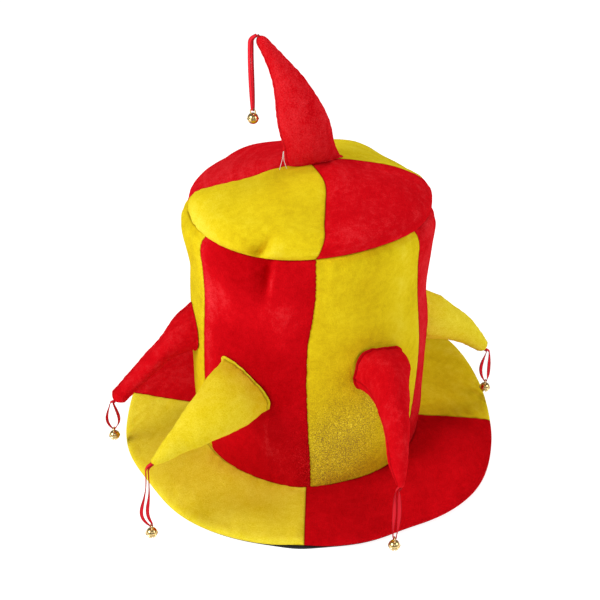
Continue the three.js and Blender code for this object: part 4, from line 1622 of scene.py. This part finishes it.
HORN_STEPS = (0.0, 0.1, 0.24, 0.4, 0.57, 0.73, 0.87, 0.96)
HORN_WIDE = Curve(HORN_STEPS, (1.0, 1.03, 1.0, 0.85, 0.64, 0.43, 0.26, 0.16))
HORN_THIN = Curve(HORN_STEPS, (1.0, 1.06, 1.08, 0.96, 0.76, 0.56, 0.38, 0.26))


@dataclass(frozen=True)
class Rays:
    """Puckers that run out from a round seam.

    Attributes:
        count: how many there are round it.
        drift: how far they stray from even steps.
        swings: how often they crowd and spread on the way round.
    """

    count: int
    drift: float
    swings: int

    def at(self, turned: Array, seed: float) -> Array:
        """Gives their height round the seam: a sine whose steps another sine shifts."""
        return np.sin(self.count * turned + self.drift * np.sin(self.swings * turned + seed))


@dataclass(frozen=True)
class Horn:
    """A stuffed horn of two sewn pieces.

    Attributes:
        place: where it sits, as in its solid's name.
        cloth: its colour.
        angle: the seat's angle round the crown.
        height: the seat's height, or None on the cap.
        wide: half the base's long way.
        thin: half the base's short way.
        roll: how far the long way is turned up, in degrees.
        pinch: how much narrower the middle is.
        lead: how far it leads straight out.
        bend: the point that the spine bends towards.
        tip: its tip.
        folds: dents along it, by the angle round its section and the share of its length.
        base_pulls: where the base is drawn in, by the angle round it, as dents of that share.
        nap_and_painted_light: how much lighter its pile lies than usual, with painted light over the whole
            horn.
        worn: how thin its pile is on its lower side.
        base_seam_shade: how dark the painted shade along its base seam is.
        pull_depth: how far its base seam pulls the crown in.
    """

    place: str
    cloth: Cloth
    angle: float
    height: float | None
    wide: float
    thin: float
    roll: float
    pinch: float
    lead: float
    bend: Point
    tip: Point
    folds: tuple[Dent, ...] = ()
    base_pulls: tuple[Dent, ...] = ()
    nap_and_painted_light: float = 0.0
    worn: float = 0.0
    base_seam_shade: float = 1.0
    pull_depth: float = 0.001
    pull_place: float = 0.06
    pull_half: float = 0.15
    pull_rays: Rays = Rays(count=9, drift=1.7, swings=2)
    ray_depth: float = 0.0006
    ray_reach: float = 0.3
    fill: float = 0.6
    seat_gap: float = 0.0005
    clearance: float = 0.02
    pinch_end: float = 0.8
    seat_share: float = 0.14
    tip_share: float = 0.96
    spine_steps: int = 401
    sides: int = 72
    disc_rows: int = 5
    close_run: float = 0.012
    close_rows: int = 20
    body_rows: int = 72
    tip_rows: int = 8
    roll_place: float = 0.0016
    roll_half: float = 0.0014
    roll_height: float = 0.0013
    groove_place: float = 0.0046
    groove_half: float = 0.0012
    groove_depth: float = 0.0009
    base_seam: Sewing = Sewing(pitch=0.008, depth=0.0004, reach=0.009, shadow=0.0008)
    base_rays: Rays = Rays(count=13, drift=1.3, swings=3)
    fine_rays: int = 22
    fine_share: float = 0.5
    side_seam: Sewing = Sewing(pitch=0.009, depth=0.0004, reach=0.006)
    side_groove: float = 0.0006
    side_reach: float = 0.0011
    # How dark the painted shade along the side seams is.
    side_seam_shade: float = 0.8
    pucker_start: float = 0.003
    side_start: float = 0.006
    lump_start: float = 0.01
    tip_calm: float = 0.05
    worn_place: float = 0.3
    worn_half: float = 0.3
    lump_size: float = 0.03
    lump_depth: float = 0.0006
    side_turn: float = 50.0
    lump_turn: float = 40.0

    def seat(self) -> CrownSeat | CapSeat:
        """Gives what the horn is sewn to."""
        return CapSeat(CAP) if self.height is None else CrownSeat(CROWN, self.angle, self.height)

    def spine(self, share: Array) -> tuple[Array, Array, float]:
        """Follows the spine, a cubic curve from the seat to the tip, evenly by its length.

        Args:
            share: of the spine's length.

        Returns:
            The points there, the directions there, and the spine's length.
        """
        seat = self.seat()
        base = seat.place(np.zeros(()), np.zeros(()), self.seat_gap)
        lead = base + seat.axes()[0] * self.lead
        knots = np.stack([base, lead, np.array(self.bend), np.array(self.tip)])
        steps = np.linspace(0, 1, self.spine_steps)
        run = run_along(cubic(knots, steps[:, None]))
        at = np.interp(share * run[-1], run, steps)[:, None]
        ahead = (1 - at) ** 2 * (knots[1] - knots[0]) + 2 * at * (1 - at) * (knots[2] - knots[1])
        ahead = ahead + at**2 * (knots[3] - knots[2])
        return cubic(knots, at), unit(ahead), float(run[-1])

    def past_tip(self, reach: float) -> Array:
        """Gives the place so far past the tip, straight on from the spine."""
        end, ahead, _ = self.spine(np.ones(1))
        return end[0] + ahead[0] * reach

    @staticmethod
    def from_side(turned: Array, girth: Array) -> Array:
        """Gives the distance to the nearer of the two side seams."""
        return np.abs(np.arcsin(np.sin(turned))) * girth

    def pull(self, angle: Array, height: Array) -> Array:
        """Gives how the horn's seam pulls the crown: a shallow ring, with puckers that run out from it.

        Args:
            angle: round the crown.
            height: above the floor.

        Returns:
            How far the crown's cloth stands out there.
        """
        roll = math.radians(self.roll)
        aside = np.radians(turn(angle, self.angle)) * CROWN_MIDDLE_RADIUS
        upwards = height - self.height
        wide_way = (aside * math.cos(roll) + upwards * math.sin(roll)) / self.wide
        thin_way = (upwards * math.cos(roll) - aside * math.sin(roll)) / self.thin
        away = np.hypot(wide_way, thin_way) - 1
        turned = np.arctan2(thin_way, wide_way)
        past = np.clip(away, 0, None)
        rays = self.ray_depth * self.pull_rays.at(turned, self.angle)
        puckers = rays * fade(past, self.ray_reach) * grow(past, self.pull_place)
        return puckers - self.pull_depth * hump((away - self.pull_place) / self.pull_half)

    def relief(self, share: Array, turned: Array, length: float, points: Array) -> Array:
        """Gives the fine relief: the rolled base seam, puckers by it, the two side seams, folds and lumps.

        Args:
            share: of the spine's length.
            turned: the angle round the section, in radians.
            length: the spine's length.
            points: the plain surface.

        Returns:
            How far the cloth stands out from the plain surface.
        """
        run = share * length
        girth = (self.wide * HORN_WIDE.at(share) + self.thin * HORN_THIN.at(share)) / 2
        from_side = self.from_side(turned, girth)
        relief = self.roll_height * hump((run - self.roll_place) / self.roll_half)
        relief = relief - self.groove_depth * hump((run - self.groove_place) / self.groove_half)
        fine = self.fine_share * np.sin(self.fine_rays * turned + self.roll)
        rays = self.base_seam.depth * (self.base_rays.at(turned, self.angle) + fine)
        past = np.clip(run - self.groove_place, 0, None)
        relief = relief + rays * fade(past, self.base_seam.reach) * ramp(run, self.pucker_start)
        relief -= self.side_groove * fade(from_side, self.side_reach) * ramp(run, self.side_start)
        relief += self.side_seam.pucker(run, from_side, self.angle / self.side_turn)
        soft = lumps(points, self.lump_size, self.angle / self.lump_turn)
        relief += self.lump_depth * soft * ramp(run, self.lump_start)
        relief -= sunk(self.folds, np.degrees(turned), share)
        return relief * ramp(1 - share, self.tip_calm)

    def shape(self) -> Shape:
        """Works out the horn on a grid of shares along the spine and angles round its oval section.

        Returns:
            The horn as a closed body: base disc, sides and a round tip.
        """
        seat = self.seat()
        _, side, up = seat.axes()
        roll = math.radians(self.roll)
        length = self.spine(np.zeros(1))[2]
        close = self.close_run / length
        close_rows = np.linspace(0, close, self.close_rows, endpoint=False)
        body_rows = np.linspace(close, self.tip_share, self.body_rows, endpoint=False)
        quarter = np.linspace(0, np.pi / 2, self.tip_rows, endpoint=False)
        tip_rows = self.tip_share + (1 - self.tip_share) * np.sin(quarter)
        share = np.concatenate([close_rows, body_rows, tip_rows])
        turned = circle(self.sides)
        middle, along, _ = self.spine(share)
        wide_axis = side * math.cos(roll) + up * math.sin(roll)
        wide_way = unit(wide_axis - along * (along @ wide_axis)[:, None])
        thin_way = np.cross(along, wide_way)
        rounding = np.sqrt(1 - (np.clip(share - self.tip_share, 0, None) / (1 - self.tip_share)) ** 2)
        pinched = 1 - self.pinch * np.sin(np.pi * ramp(share, self.pinch_end))
        wide = (self.wide * HORN_WIDE.at(share) * pinched * rounding)[:, None]
        thin = (self.thin * HORN_THIN.at(share) * rounding)[:, None]
        across = (wide * np.cos(turned))[..., None] * wide_way[:, None]
        section = middle[:, None] + across + (thin * np.sin(turned))[..., None] * thin_way[:, None]
        drawn = 1 - sunk(self.base_pulls, np.degrees(turned), 0.0)
        base_wide = self.wide * np.cos(turned) * drawn
        base_thin = self.thin * np.sin(turned) * drawn
        aside = base_wide * math.cos(roll) - base_thin * math.sin(roll)
        upwards = base_wide * math.sin(roll) + base_thin * math.cos(roll)
        base = seat.place(aside, upwards, self.seat_gap)
        blend = ramp(share, self.seat_share)[:, None, None]
        blend = blend * blend * (3 - 2 * blend)
        plain = base[None] * (1 - blend) + section * blend
        plain = seat.clear(plain, (self.seat_gap + self.clearance * share)[:, None])
        way = (np.cos(turned) / wide)[..., None] * wide_way[:, None]
        way = unit(way + (np.sin(turned) / thin)[..., None] * thin_way[:, None])
        relief = self.relief(share[:, None], turned[None], length, plain)
        body = plain + way * relief[..., None]
        discs = np.linspace(0.1, 0.9, self.disc_rows)[:, None]
        floor = seat.place(discs * aside, discs * upwards, self.seat_gap)
        grid = np.concatenate([floor, body])
        index = np.arange(grid.shape[0] * self.sides).reshape(-1, self.sides)
        poles = np.stack([seat.place(np.zeros(()), np.zeros(()), self.seat_gap), np.array(self.tip)])
        points = np.concatenate([grid.reshape(-1, 3), poles])
        return Shape(points, capped_faces(index), *self.patterns(share, turned, length))

    def patterns(self, share: Array, turned: Array, length: float) -> tuple[Array, dict[str, Array]]:
        """Works out the flat cut and the masks of the horn's points.

        Args:
            share: of the spine's length, for each ring of the body.
            turned: the angles round.
            length: the spine's length.

        Returns:
            The places on the flat cloth, and the masks.
        """
        run = np.concatenate([np.zeros(self.disc_rows), share * length])[:, None]
        girth = self.wide * HORN_WIDE.at(run / length)
        cut = joined(turned * girth, run)
        # Painted shade along the side seams and the base seam.
        sides = self.side_seam_shade * self.side_seam.line(self.from_side(turned, girth))
        base = np.maximum(self.base_seam.line(run - self.groove_place), self.base_seam.line(run))
        seam = np.maximum(sides, self.base_seam_shade * base)
        worn = self.worn * hump((run / length - self.worn_place) / self.worn_half)
        worn = worn * np.clip(-np.sin(turned), 0, 1)
        poles = np.zeros(2)
        marks = {
            "seam": np.concatenate([seam.ravel(), poles]),
            "worn": np.concatenate([worn.ravel(), poles]),
            "nap_and_painted_light": np.full(seam.size + len(poles), self.nap_and_painted_light),
        }
        return np.concatenate([cut.reshape(-1, 2), np.zeros((2, 2))]), marks

    def build(self) -> None:
        """Makes the horn."""
        made = add_piece(f"horn_{self.place}_stuffed", self.shape(), PLUSH[self.cloth], f"horn_{self.place}")


CROWN = Crown()
CAP = Cap()

# Some horns are lightened as a whole: the pile's tone, with painted light.
HORNS = (
    Horn(
        "top", Cloth.RED, 0, None, 0.0205, 0.016, 28, 0.0, 0.04,
        bend=(-0.02, 0.002, 0.336), tip=(-0.0395, 0.0, 0.364),
        folds=(Dent(180, 0.42, 50, 0.2, -0.0035), Dent(0, 0.96, 720, 0.12, -0.0018)),
        base_pulls=(Dent(270, 0, 60, 1, 0.35), Dent(0, 0, 22, 1, -0.55)),
        roll_height=0.0003, groove_depth=0.0003, base_seam_shade=0.3, nap_and_painted_light=0.08, lump_depth=0.0003,
    ),
    Horn(
        "front_left", Cloth.YELLOW, -31, 0.101, 0.0257, 0.0134, -38, 0.06, 0.0315,
        bend=(-0.086, -0.13, 0.095), tip=(-0.1215, -0.1595, 0.0785), worn=0.4,
        base_pulls=(Dent(180, 0, 25, 1, -0.14), Dent(90, 0, 35, 1, 0.16)), nap_and_painted_light=0.1,
    ),
    Horn(
        "front_right", Cloth.RED, 32.3, 0.117, 0.0198, 0.0183, 10, 0.24, 0.025,
        bend=(0.0625, -0.172, 0.126), tip=(0.069, -0.173, 0.067),
        folds=(
            Dent(8, 0.1, 30, 0.1, -0.0028),
            Dent(14, 0.03, 20, 0.12, -0.003),
            Dent(102, 0, 32, 0.14, -0.0036),
        ),
        base_pulls=(
            Dent(0, 0, 25, 1, -0.12), Dent(80, 0, 25, 1, 0.12),
            Dent(122, 0, 22, 1, -0.1), Dent(197, 0, 25, 1, -0.1),
        ),
    ),
    Horn(
        "right", Cloth.YELLOW, 95, 0.111, 0.0222, 0.014, 65, 0.2, 0.0045,
        bend=(0.1385, 0.0235, 0.0875), tip=(0.158, 0.0245, 0.064), pull_depth=0.0, nap_and_painted_light=0.15,
        folds=(
            Dent(30, 0.2, 60, 0.18, 0.003),
            Dent(38, 0.65, 60, 0.3, -0.0018),
            Dent(0, 0.97, 720, 0.14, -0.002),
        ),
        roll_height=0.0, groove_depth=0.0, base_seam_shade=0.1, lump_depth=0.0002,
    ),
    Horn(
        "back_right", Cloth.RED, 150, 0.107, 0.025, 0.013, 40, 0.06, 0.036,
        bend=(0.094, 0.142, 0.1), tip=(0.112, 0.156, 0.072),
    ),
    Horn(
        "back_left", Cloth.YELLOW, -150, 0.107, 0.025, 0.014, -35, 0.0, 0.038,
        bend=(-0.08, 0.156, 0.102), tip=(-0.086, 0.173, 0.07),
    ),
    Horn(
        "left", Cloth.RED, -78, 0.116, 0.02, 0.0195, 105, 0.42, 0.0067,
        bend=(-0.135, -0.015, 0.0785), tip=(-0.167, -0.042, 0.054), pull_depth=0.0,
        folds=(Dent(335, 0.17, 60, 0.2, 0.0036), Dent(0, 0.97, 720, 0.14, -0.0034)),
        base_pulls=(Dent(0, 0, 25, 1, -0.15), Dent(225, 0, 30, 1, -0.05)),
        roll_height=0.0, groove_depth=0.0, base_seam_shade=0.3, lump_depth=0.0002,
    ),
)


@dataclass(frozen=True)
class Bell:
    """A jingle bell: a hollow ball with a rolled middle seam, a crossed slot below and a wire eye on top.

    Attributes:
        radius: the ball's radius.
        wall: the metal's thickness.
        seam: how far the middle seam stands out.
        slot: the slot's width.
        slot_top: where the slot ends, from the ball's middle.
        eye_radius: the eye's radius, to the middle of its wire.
        eye_wire: the wire's radius.
        eye_height: the eye's middle, above the ball's.
    """

    radius: float = 0.0046
    wall: float = 0.0006
    seam: float = 0.0004
    seam_half: float = 0.0003
    slot: float = 0.0012
    slot_top: float = -0.0013
    eye_radius: float = 0.0024
    eye_wire: float = 0.00055
    eye_height: float = 0.0055
    seam_tilt: float = 6.0
    next_tilt: float = 8.0
    last_tilt: float = 86.0
    tilt_rows: tuple[int, int, int] = (4, 9, 14)
    petal_steps: int = 12
    petal_rows: int = 12
    petal_end: float = 0.72
    petal_crowd: float = 1.6
    slot_steps: int = 4
    eye_steps: int = 40
    wire_sides: int = 12

    def shell(self) -> Shape:
        """Works out the ball on a grid of heights and angles: a whole upper part, and four petals below it.

        The columns of the upper part are those of the petals and of the slot ends between them. A petal
        lies between two slots, so at each height it spans the angles where a slot's half width is passed.

        Returns:
            The ball's outer surface, open at the slots.
        """
        ring = math.sqrt(self.radius**2 - self.slot_top**2)
        half = math.asin(self.slot / 2 / ring)
        petal = np.linspace(half, np.pi / 2 - half, self.petal_steps + 1)
        gap = np.linspace(np.pi / 2 - half, np.pi / 2 + half, self.slot_steps + 1)[1:-1]
        quarter = np.concatenate([petal, gap])
        starts = np.arange(4) * np.pi / 2
        angles = (starts[:, None] + quarter[None]).ravel()
        low = math.degrees(math.asin(self.slot_top / self.radius))
        below = np.linspace(low, -self.next_tilt, self.tilt_rows[0])
        seam = np.linspace(-self.seam_tilt, self.seam_tilt, self.tilt_rows[1])
        above = np.linspace(self.next_tilt, self.last_tilt, self.tilt_rows[2])
        tilts = np.concatenate([below, seam, above])
        height = self.radius * np.sin(np.radians(tilts))
        reach = self.radius * np.cos(np.radians(tilts)) + self.seam * hump(height / self.seam_half)
        upper = joined(reach[:, None] * np.cos(angles), reach[:, None] * np.sin(angles), height[:, None])
        index = np.arange(upper.shape[0] * len(angles)).reshape(-1, len(angles))
        faces = [grid_faces(index, wrap=True), fan_faces(index[-1], index.size)]
        down = np.linspace(0, 1, self.petal_rows + 1)[1:, None]
        ring_down = ring + (self.petal_end * self.slot - ring) * down**self.petal_crowd
        edge = np.arcsin(self.slot / 2 / ring_down)
        share = np.linspace(0, 1, self.petal_steps + 1)
        round_petal = starts[:, None, None] + edge + (np.pi / 2 - 2 * edge) * share
        depth = -np.sqrt(self.radius**2 - ring_down**2)
        petals = joined(ring_down * np.cos(round_petal), ring_down * np.sin(round_petal), depth)
        count = index.size + 1
        for number in range(4):
            own = count + np.arange(petals[number].size // 3).reshape(petals.shape[1:3])
            first = index[0, number * len(quarter):][: self.petal_steps + 1]
            faces.append(grid_faces(np.concatenate([first[None], own]))[:, ::-1])
            count += own.size
        points = np.concatenate([upper.reshape(-1, 3), [[0, 0, self.radius]], petals.reshape(-1, 3)])
        return Shape(points, faces, np.zeros((len(points), 2)))

    def eye(self) -> Shape:
        """Carries the wire's circle round the eye, which stands upright with its hole along Y.

        Returns:
            The eye as a ring of wire.
        """
        turned = circle(self.eye_steps)
        upright = self.eye_height + self.eye_radius * np.sin(turned)
        path = joined(self.eye_radius * np.cos(turned), 0.0, upright)
        return tube(path, self.eye_wire, self.wire_sides, closed=True)

    def build(self, place: str, centre: Array, angle: float) -> bpy.types.Object:
        """Makes one bell with its eye.

        Args:
            place: where it hangs, as in its solid's name.
            centre: the ball's middle.
            angle: the direction of the eye's hole, round the crown.

        Returns:
            The bell.
        """
        ball = self.shell()
        inner = ball.points * (1 - self.wall / self.radius)
        eye = self.eye()
        count = len(ball.points)
        faces = list(ball.faces)
        faces += [part[:, ::-1] + count for part in ball.faces]
        faces += [self.slot_rim(ball, count)]
        faces += [part + 2 * count for part in eye.faces]
        points = np.concatenate([ball.points, inner, eye.points])
        cos, sin = math.cos(math.radians(angle)), math.sin(math.radians(angle))
        turned = points @ np.array([[cos, sin, 0], [-sin, cos, 0], [0, 0, 1]]) + centre
        shape = Shape(turned, faces, np.zeros((len(points), 2)))
        return add_piece(f"bell_{place}_shell", shape, GoldFinish(), f"bell_{place}")

    @staticmethod
    def slot_rim(ball: Shape, count: int) -> Array:
        """Finds the ball's open edges, those that only one face uses, and joins them to the inner wall.

        Args:
            ball: the outer surface.
            count: how many points it has; the inner wall's points follow in the same order.

        Returns:
            Quads across the metal's thickness.
        """
        edges = np.concatenate(
            [np.stack([part, np.roll(part, -1, axis=1)], axis=-1).reshape(-1, 2) for part in ball.faces]
        )
        forward = edges[:, 0] * count + edges[:, 1]
        backward = edges[:, 1] * count + edges[:, 0]
        rim = edges[~np.isin(forward, backward)]
        return np.stack([rim[:, 1], rim[:, 0], rim[:, 0] + count, rim[:, 1] + count], axis=-1)


@dataclass(frozen=True)
class Loop:
    """A ribbon loop with its bell, from a horn's tip down through the bell's eye and back.

    Attributes:
        place: the horn's place.
        start: the room left at the tip.
        drop: from the tip to the bell's middle.
        run: how far it runs sideways off the tip.
        open: how far its two strands stand apart in the middle.
        angle: the direction in which they stand apart.
        late: how late on the way down the loop opens, 1 for halfway.
        sway: how far the loop swings sideways where it is open.
        twist: how far each strand turns there, in degrees.
        fall: how much faster it falls lower down.
        fullness: how round the loop is, less for rounder.
    """

    place: str
    start: float
    drop: float
    run: tuple[float, float]
    open: float
    angle: float
    late: float
    sway: float
    twist: float
    fall: float = 1.25
    fullness: float = 0.8
    width: float = 0.0032
    thick: float = 0.0005
    gather: float = 0.45
    gather_power: int = 6
    end_spread: float = 0.0008
    sewn_spread: float = 0.6
    bend: float = 0.0012
    bend_steps: int = 9
    run_share: float = 0.14
    eye_room: float = 0.00105
    sewn_in: float = 0.0022
    curl: float = 0.0003
    curl_level: float = 0.4
    edge_power: int = 6
    steps: int = 44
    columns: int = 7
    bell: Bell = Bell()

    def opened(self, share: Array) -> Array:
        """Gives how far the loop is open there, from 0 to 1."""
        return np.clip(np.sin(np.pi * share ** (self.fall * self.late)), 0, 1)

    def strand(self, tip: Array, share: Array, side: float) -> Array:
        """Follows one strand: off the tip sideways at first, then down, opening and closing on its way.

        Args:
            tip: where the loop starts.
            share: of the way down.
            side: 1 or -1 for the two strands, 0 for the middle between them.

        Returns:
            The points there.
        """
        drop = self.drop - self.bell.eye_height - self.eye_room - self.bend
        run = 1 - (1 - ramp(share, self.run_share)) ** 2
        opening = self.open / 2 * self.opened(share) ** self.fullness
        apart = self.end_spread * (1 - share) + self.bend * share + opening
        sideways = self.run[0] * run + self.sway * self.opened(share)
        line = joined(sideways, self.run[1] * run, -drop * share**self.fall)
        return tip + line + polar(self.angle, 1.0, 0.0) * (side * apart)[..., None]

    def path(self, horn: Horn) -> tuple[Array, Array, Array]:
        """Follows the whole loop: out of the horn, down, round through the eye, up and back in.

        Args:
            horn: the horn that carries it.

        Returns:
            The points, the share of the way down at each, and the side at each.
        """
        tip = horn.past_tip(self.start)
        share = np.linspace(0, 1, self.steps)
        aside = polar(self.angle, 1.0, 0.0)
        turned = np.linspace(0, np.pi, self.bend_steps)[1:-1, None]
        low = self.strand(tip, np.ones(1), 0.0) + self.bend * (aside * np.cos(turned) - UP * np.sin(turned))
        inside = horn.past_tip(-self.sewn_in)
        apart = aside * self.end_spread * self.sewn_spread
        sewn = np.stack([inside + apart, inside - apart])
        down = self.strand(tip, share, 1.0)
        up = self.strand(tip, share, -1.0)[::-1]
        points = np.concatenate([sewn[:1], down, low, up, sewn[1:]])
        shares = np.concatenate([[0], share, np.ones(len(low)), share[::-1], [0]])
        sides = np.concatenate([np.ones(len(down) + 1), np.zeros(len(low)), -np.ones(len(up) + 1)])
        return points, shares, sides

    def ribbon(self, points: Array, share: Array, side: Array) -> Shape:
        """Carries a thin, slightly curled strip along the loop; it lies flat across the loop and twists.

        Args:
            points: the loop's middle line.
            share: of the way down at each point.
            side: which strand each point is on.

        Returns:
            The ribbon as a closed strip.
        """
        along = unit(np.gradient(points, axis=0))
        flat = np.cross(UP, polar(self.angle, 1.0, 0.0))
        level = unit(flat - along * (along @ flat)[:, None])
        turned = (side * math.radians(self.twist) * self.opened(share))[:, None]
        wide = level * np.cos(turned) + np.cross(along, level) * np.sin(turned)
        thin = np.cross(along, wide)
        half = self.width / 2 * (1 - self.gather * share**self.gather_power)
        across = np.linspace(-1, 1, self.columns)
        middle = points[:, None] + wide[:, None] * (half[:, None] * across)[..., None]
        middle = middle + thin[:, None] * (self.curl * (across**2 - self.curl_level))[None, :, None]
        lift = thin[:, None] * self.thick / 2
        cut = joined(across[None] * self.width / 2, run_along(points)[:, None])
        # The edge mask is where the finish paints shade along the ribbon's two edges.
        marks = {"edge": np.broadcast_to(np.abs(across[None]) ** self.edge_power, cut.shape[:2])}
        return wall(middle - lift, middle + lift, cut, marks)

    def build(self, horn: Horn) -> None:
        """Makes the bell and the ribbon that it hangs on.

        Args:
            horn: the horn that carries them.
        """
        points, share, side = self.path(horn)
        tip = horn.past_tip(self.start)
        centre = self.strand(tip, np.ones(1), 0.0)[0]
        centre[2] = tip[2] - self.drop
        bell = self.bell.build(self.place, centre, self.angle)
        shape = self.ribbon(points, share, side)
        made = add_piece(f"ribbon_{self.place}_loop", shape, SatinFinish(), f"ribbon_{self.place}")


LOOPS = (
    Loop("top", 0.0013, 0.068, (-0.0045, 0.0), 0.002, 150, 0.6, -0.0008, 20),
    Loop("front_left", 0.00085, 0.067, (-0.0035, -0.0015), 0.0025, 105, 3, -0.0045, 80),
    Loop("front_right", 0.00085, 0.057, (-0.0026, -0.001), 0.0018, 95, 1, 0.0008, 88),
    Loop("right", 0.00085, 0.041, (0.003, 0.0), 0.0048, 80, 1.5, -0.0015, 70),
    Loop("back_right", 0.00085, 0.048, (0.002, 0.002), 0.004, 60, 1.6, -0.001, 40),
    Loop("back_left", 0.00085, 0.05, (-0.001, 0.002), 0.004, 120, 2.2, 0.0015, 40),
    Loop("left", 0.00105, 0.036, (-0.002, 0.001), 0.008, 90, 1.6, 0.0, 35),
)


@dataclass(frozen=True)
class LooseThread:
    """A loose end of sewing thread that stands in a small loop beside the top horn.

    Attributes:
        route: its way from the seam, up the horn's side and down again.
        diameter: the thread's thickness.
    """

    route: tuple[Point, ...] = (
        (-0.0182, -0.0125, 0.2592),
        (-0.0203, -0.0135, 0.2668),
        (-0.0207, -0.0136, 0.2748),
        (-0.0217, -0.0137, 0.2682),
        (-0.024, -0.0138, 0.2588),
    )
    diameter: float = 0.0005
    steps: int = 33
    sides: int = 8

    def build(self) -> None:
        """Makes the thread as a smooth tube through its route."""
        places = tuple(np.linspace(0, 1, len(self.route)))
        along = np.linspace(0, 1, self.steps)
        path = np.stack([Curve(places, values).at(along) for values in zip(*self.route)], axis=-1)
        shape = tube(path, self.diameter / 2, self.sides, closed=False)
        made = add_piece("loose_thread", shape, ThreadFinish())


def main() -> None:
    """Builds the studio and then the hat, piece by piece."""
    logging.basicConfig(level=logging.INFO, format="%(name)s: %(message)s")
    Studio().build()
    for loop in LOOPS:
        loop.build(next(horn for horn in HORNS if horn.place == loop.place))
    for horn in HORNS:
        horn.build()
    LooseThread().build()
    CAP.build()
    CROWN.build(HORNS)
    Brim().build()
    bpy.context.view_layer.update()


if __name__ == "__main__":
    main()
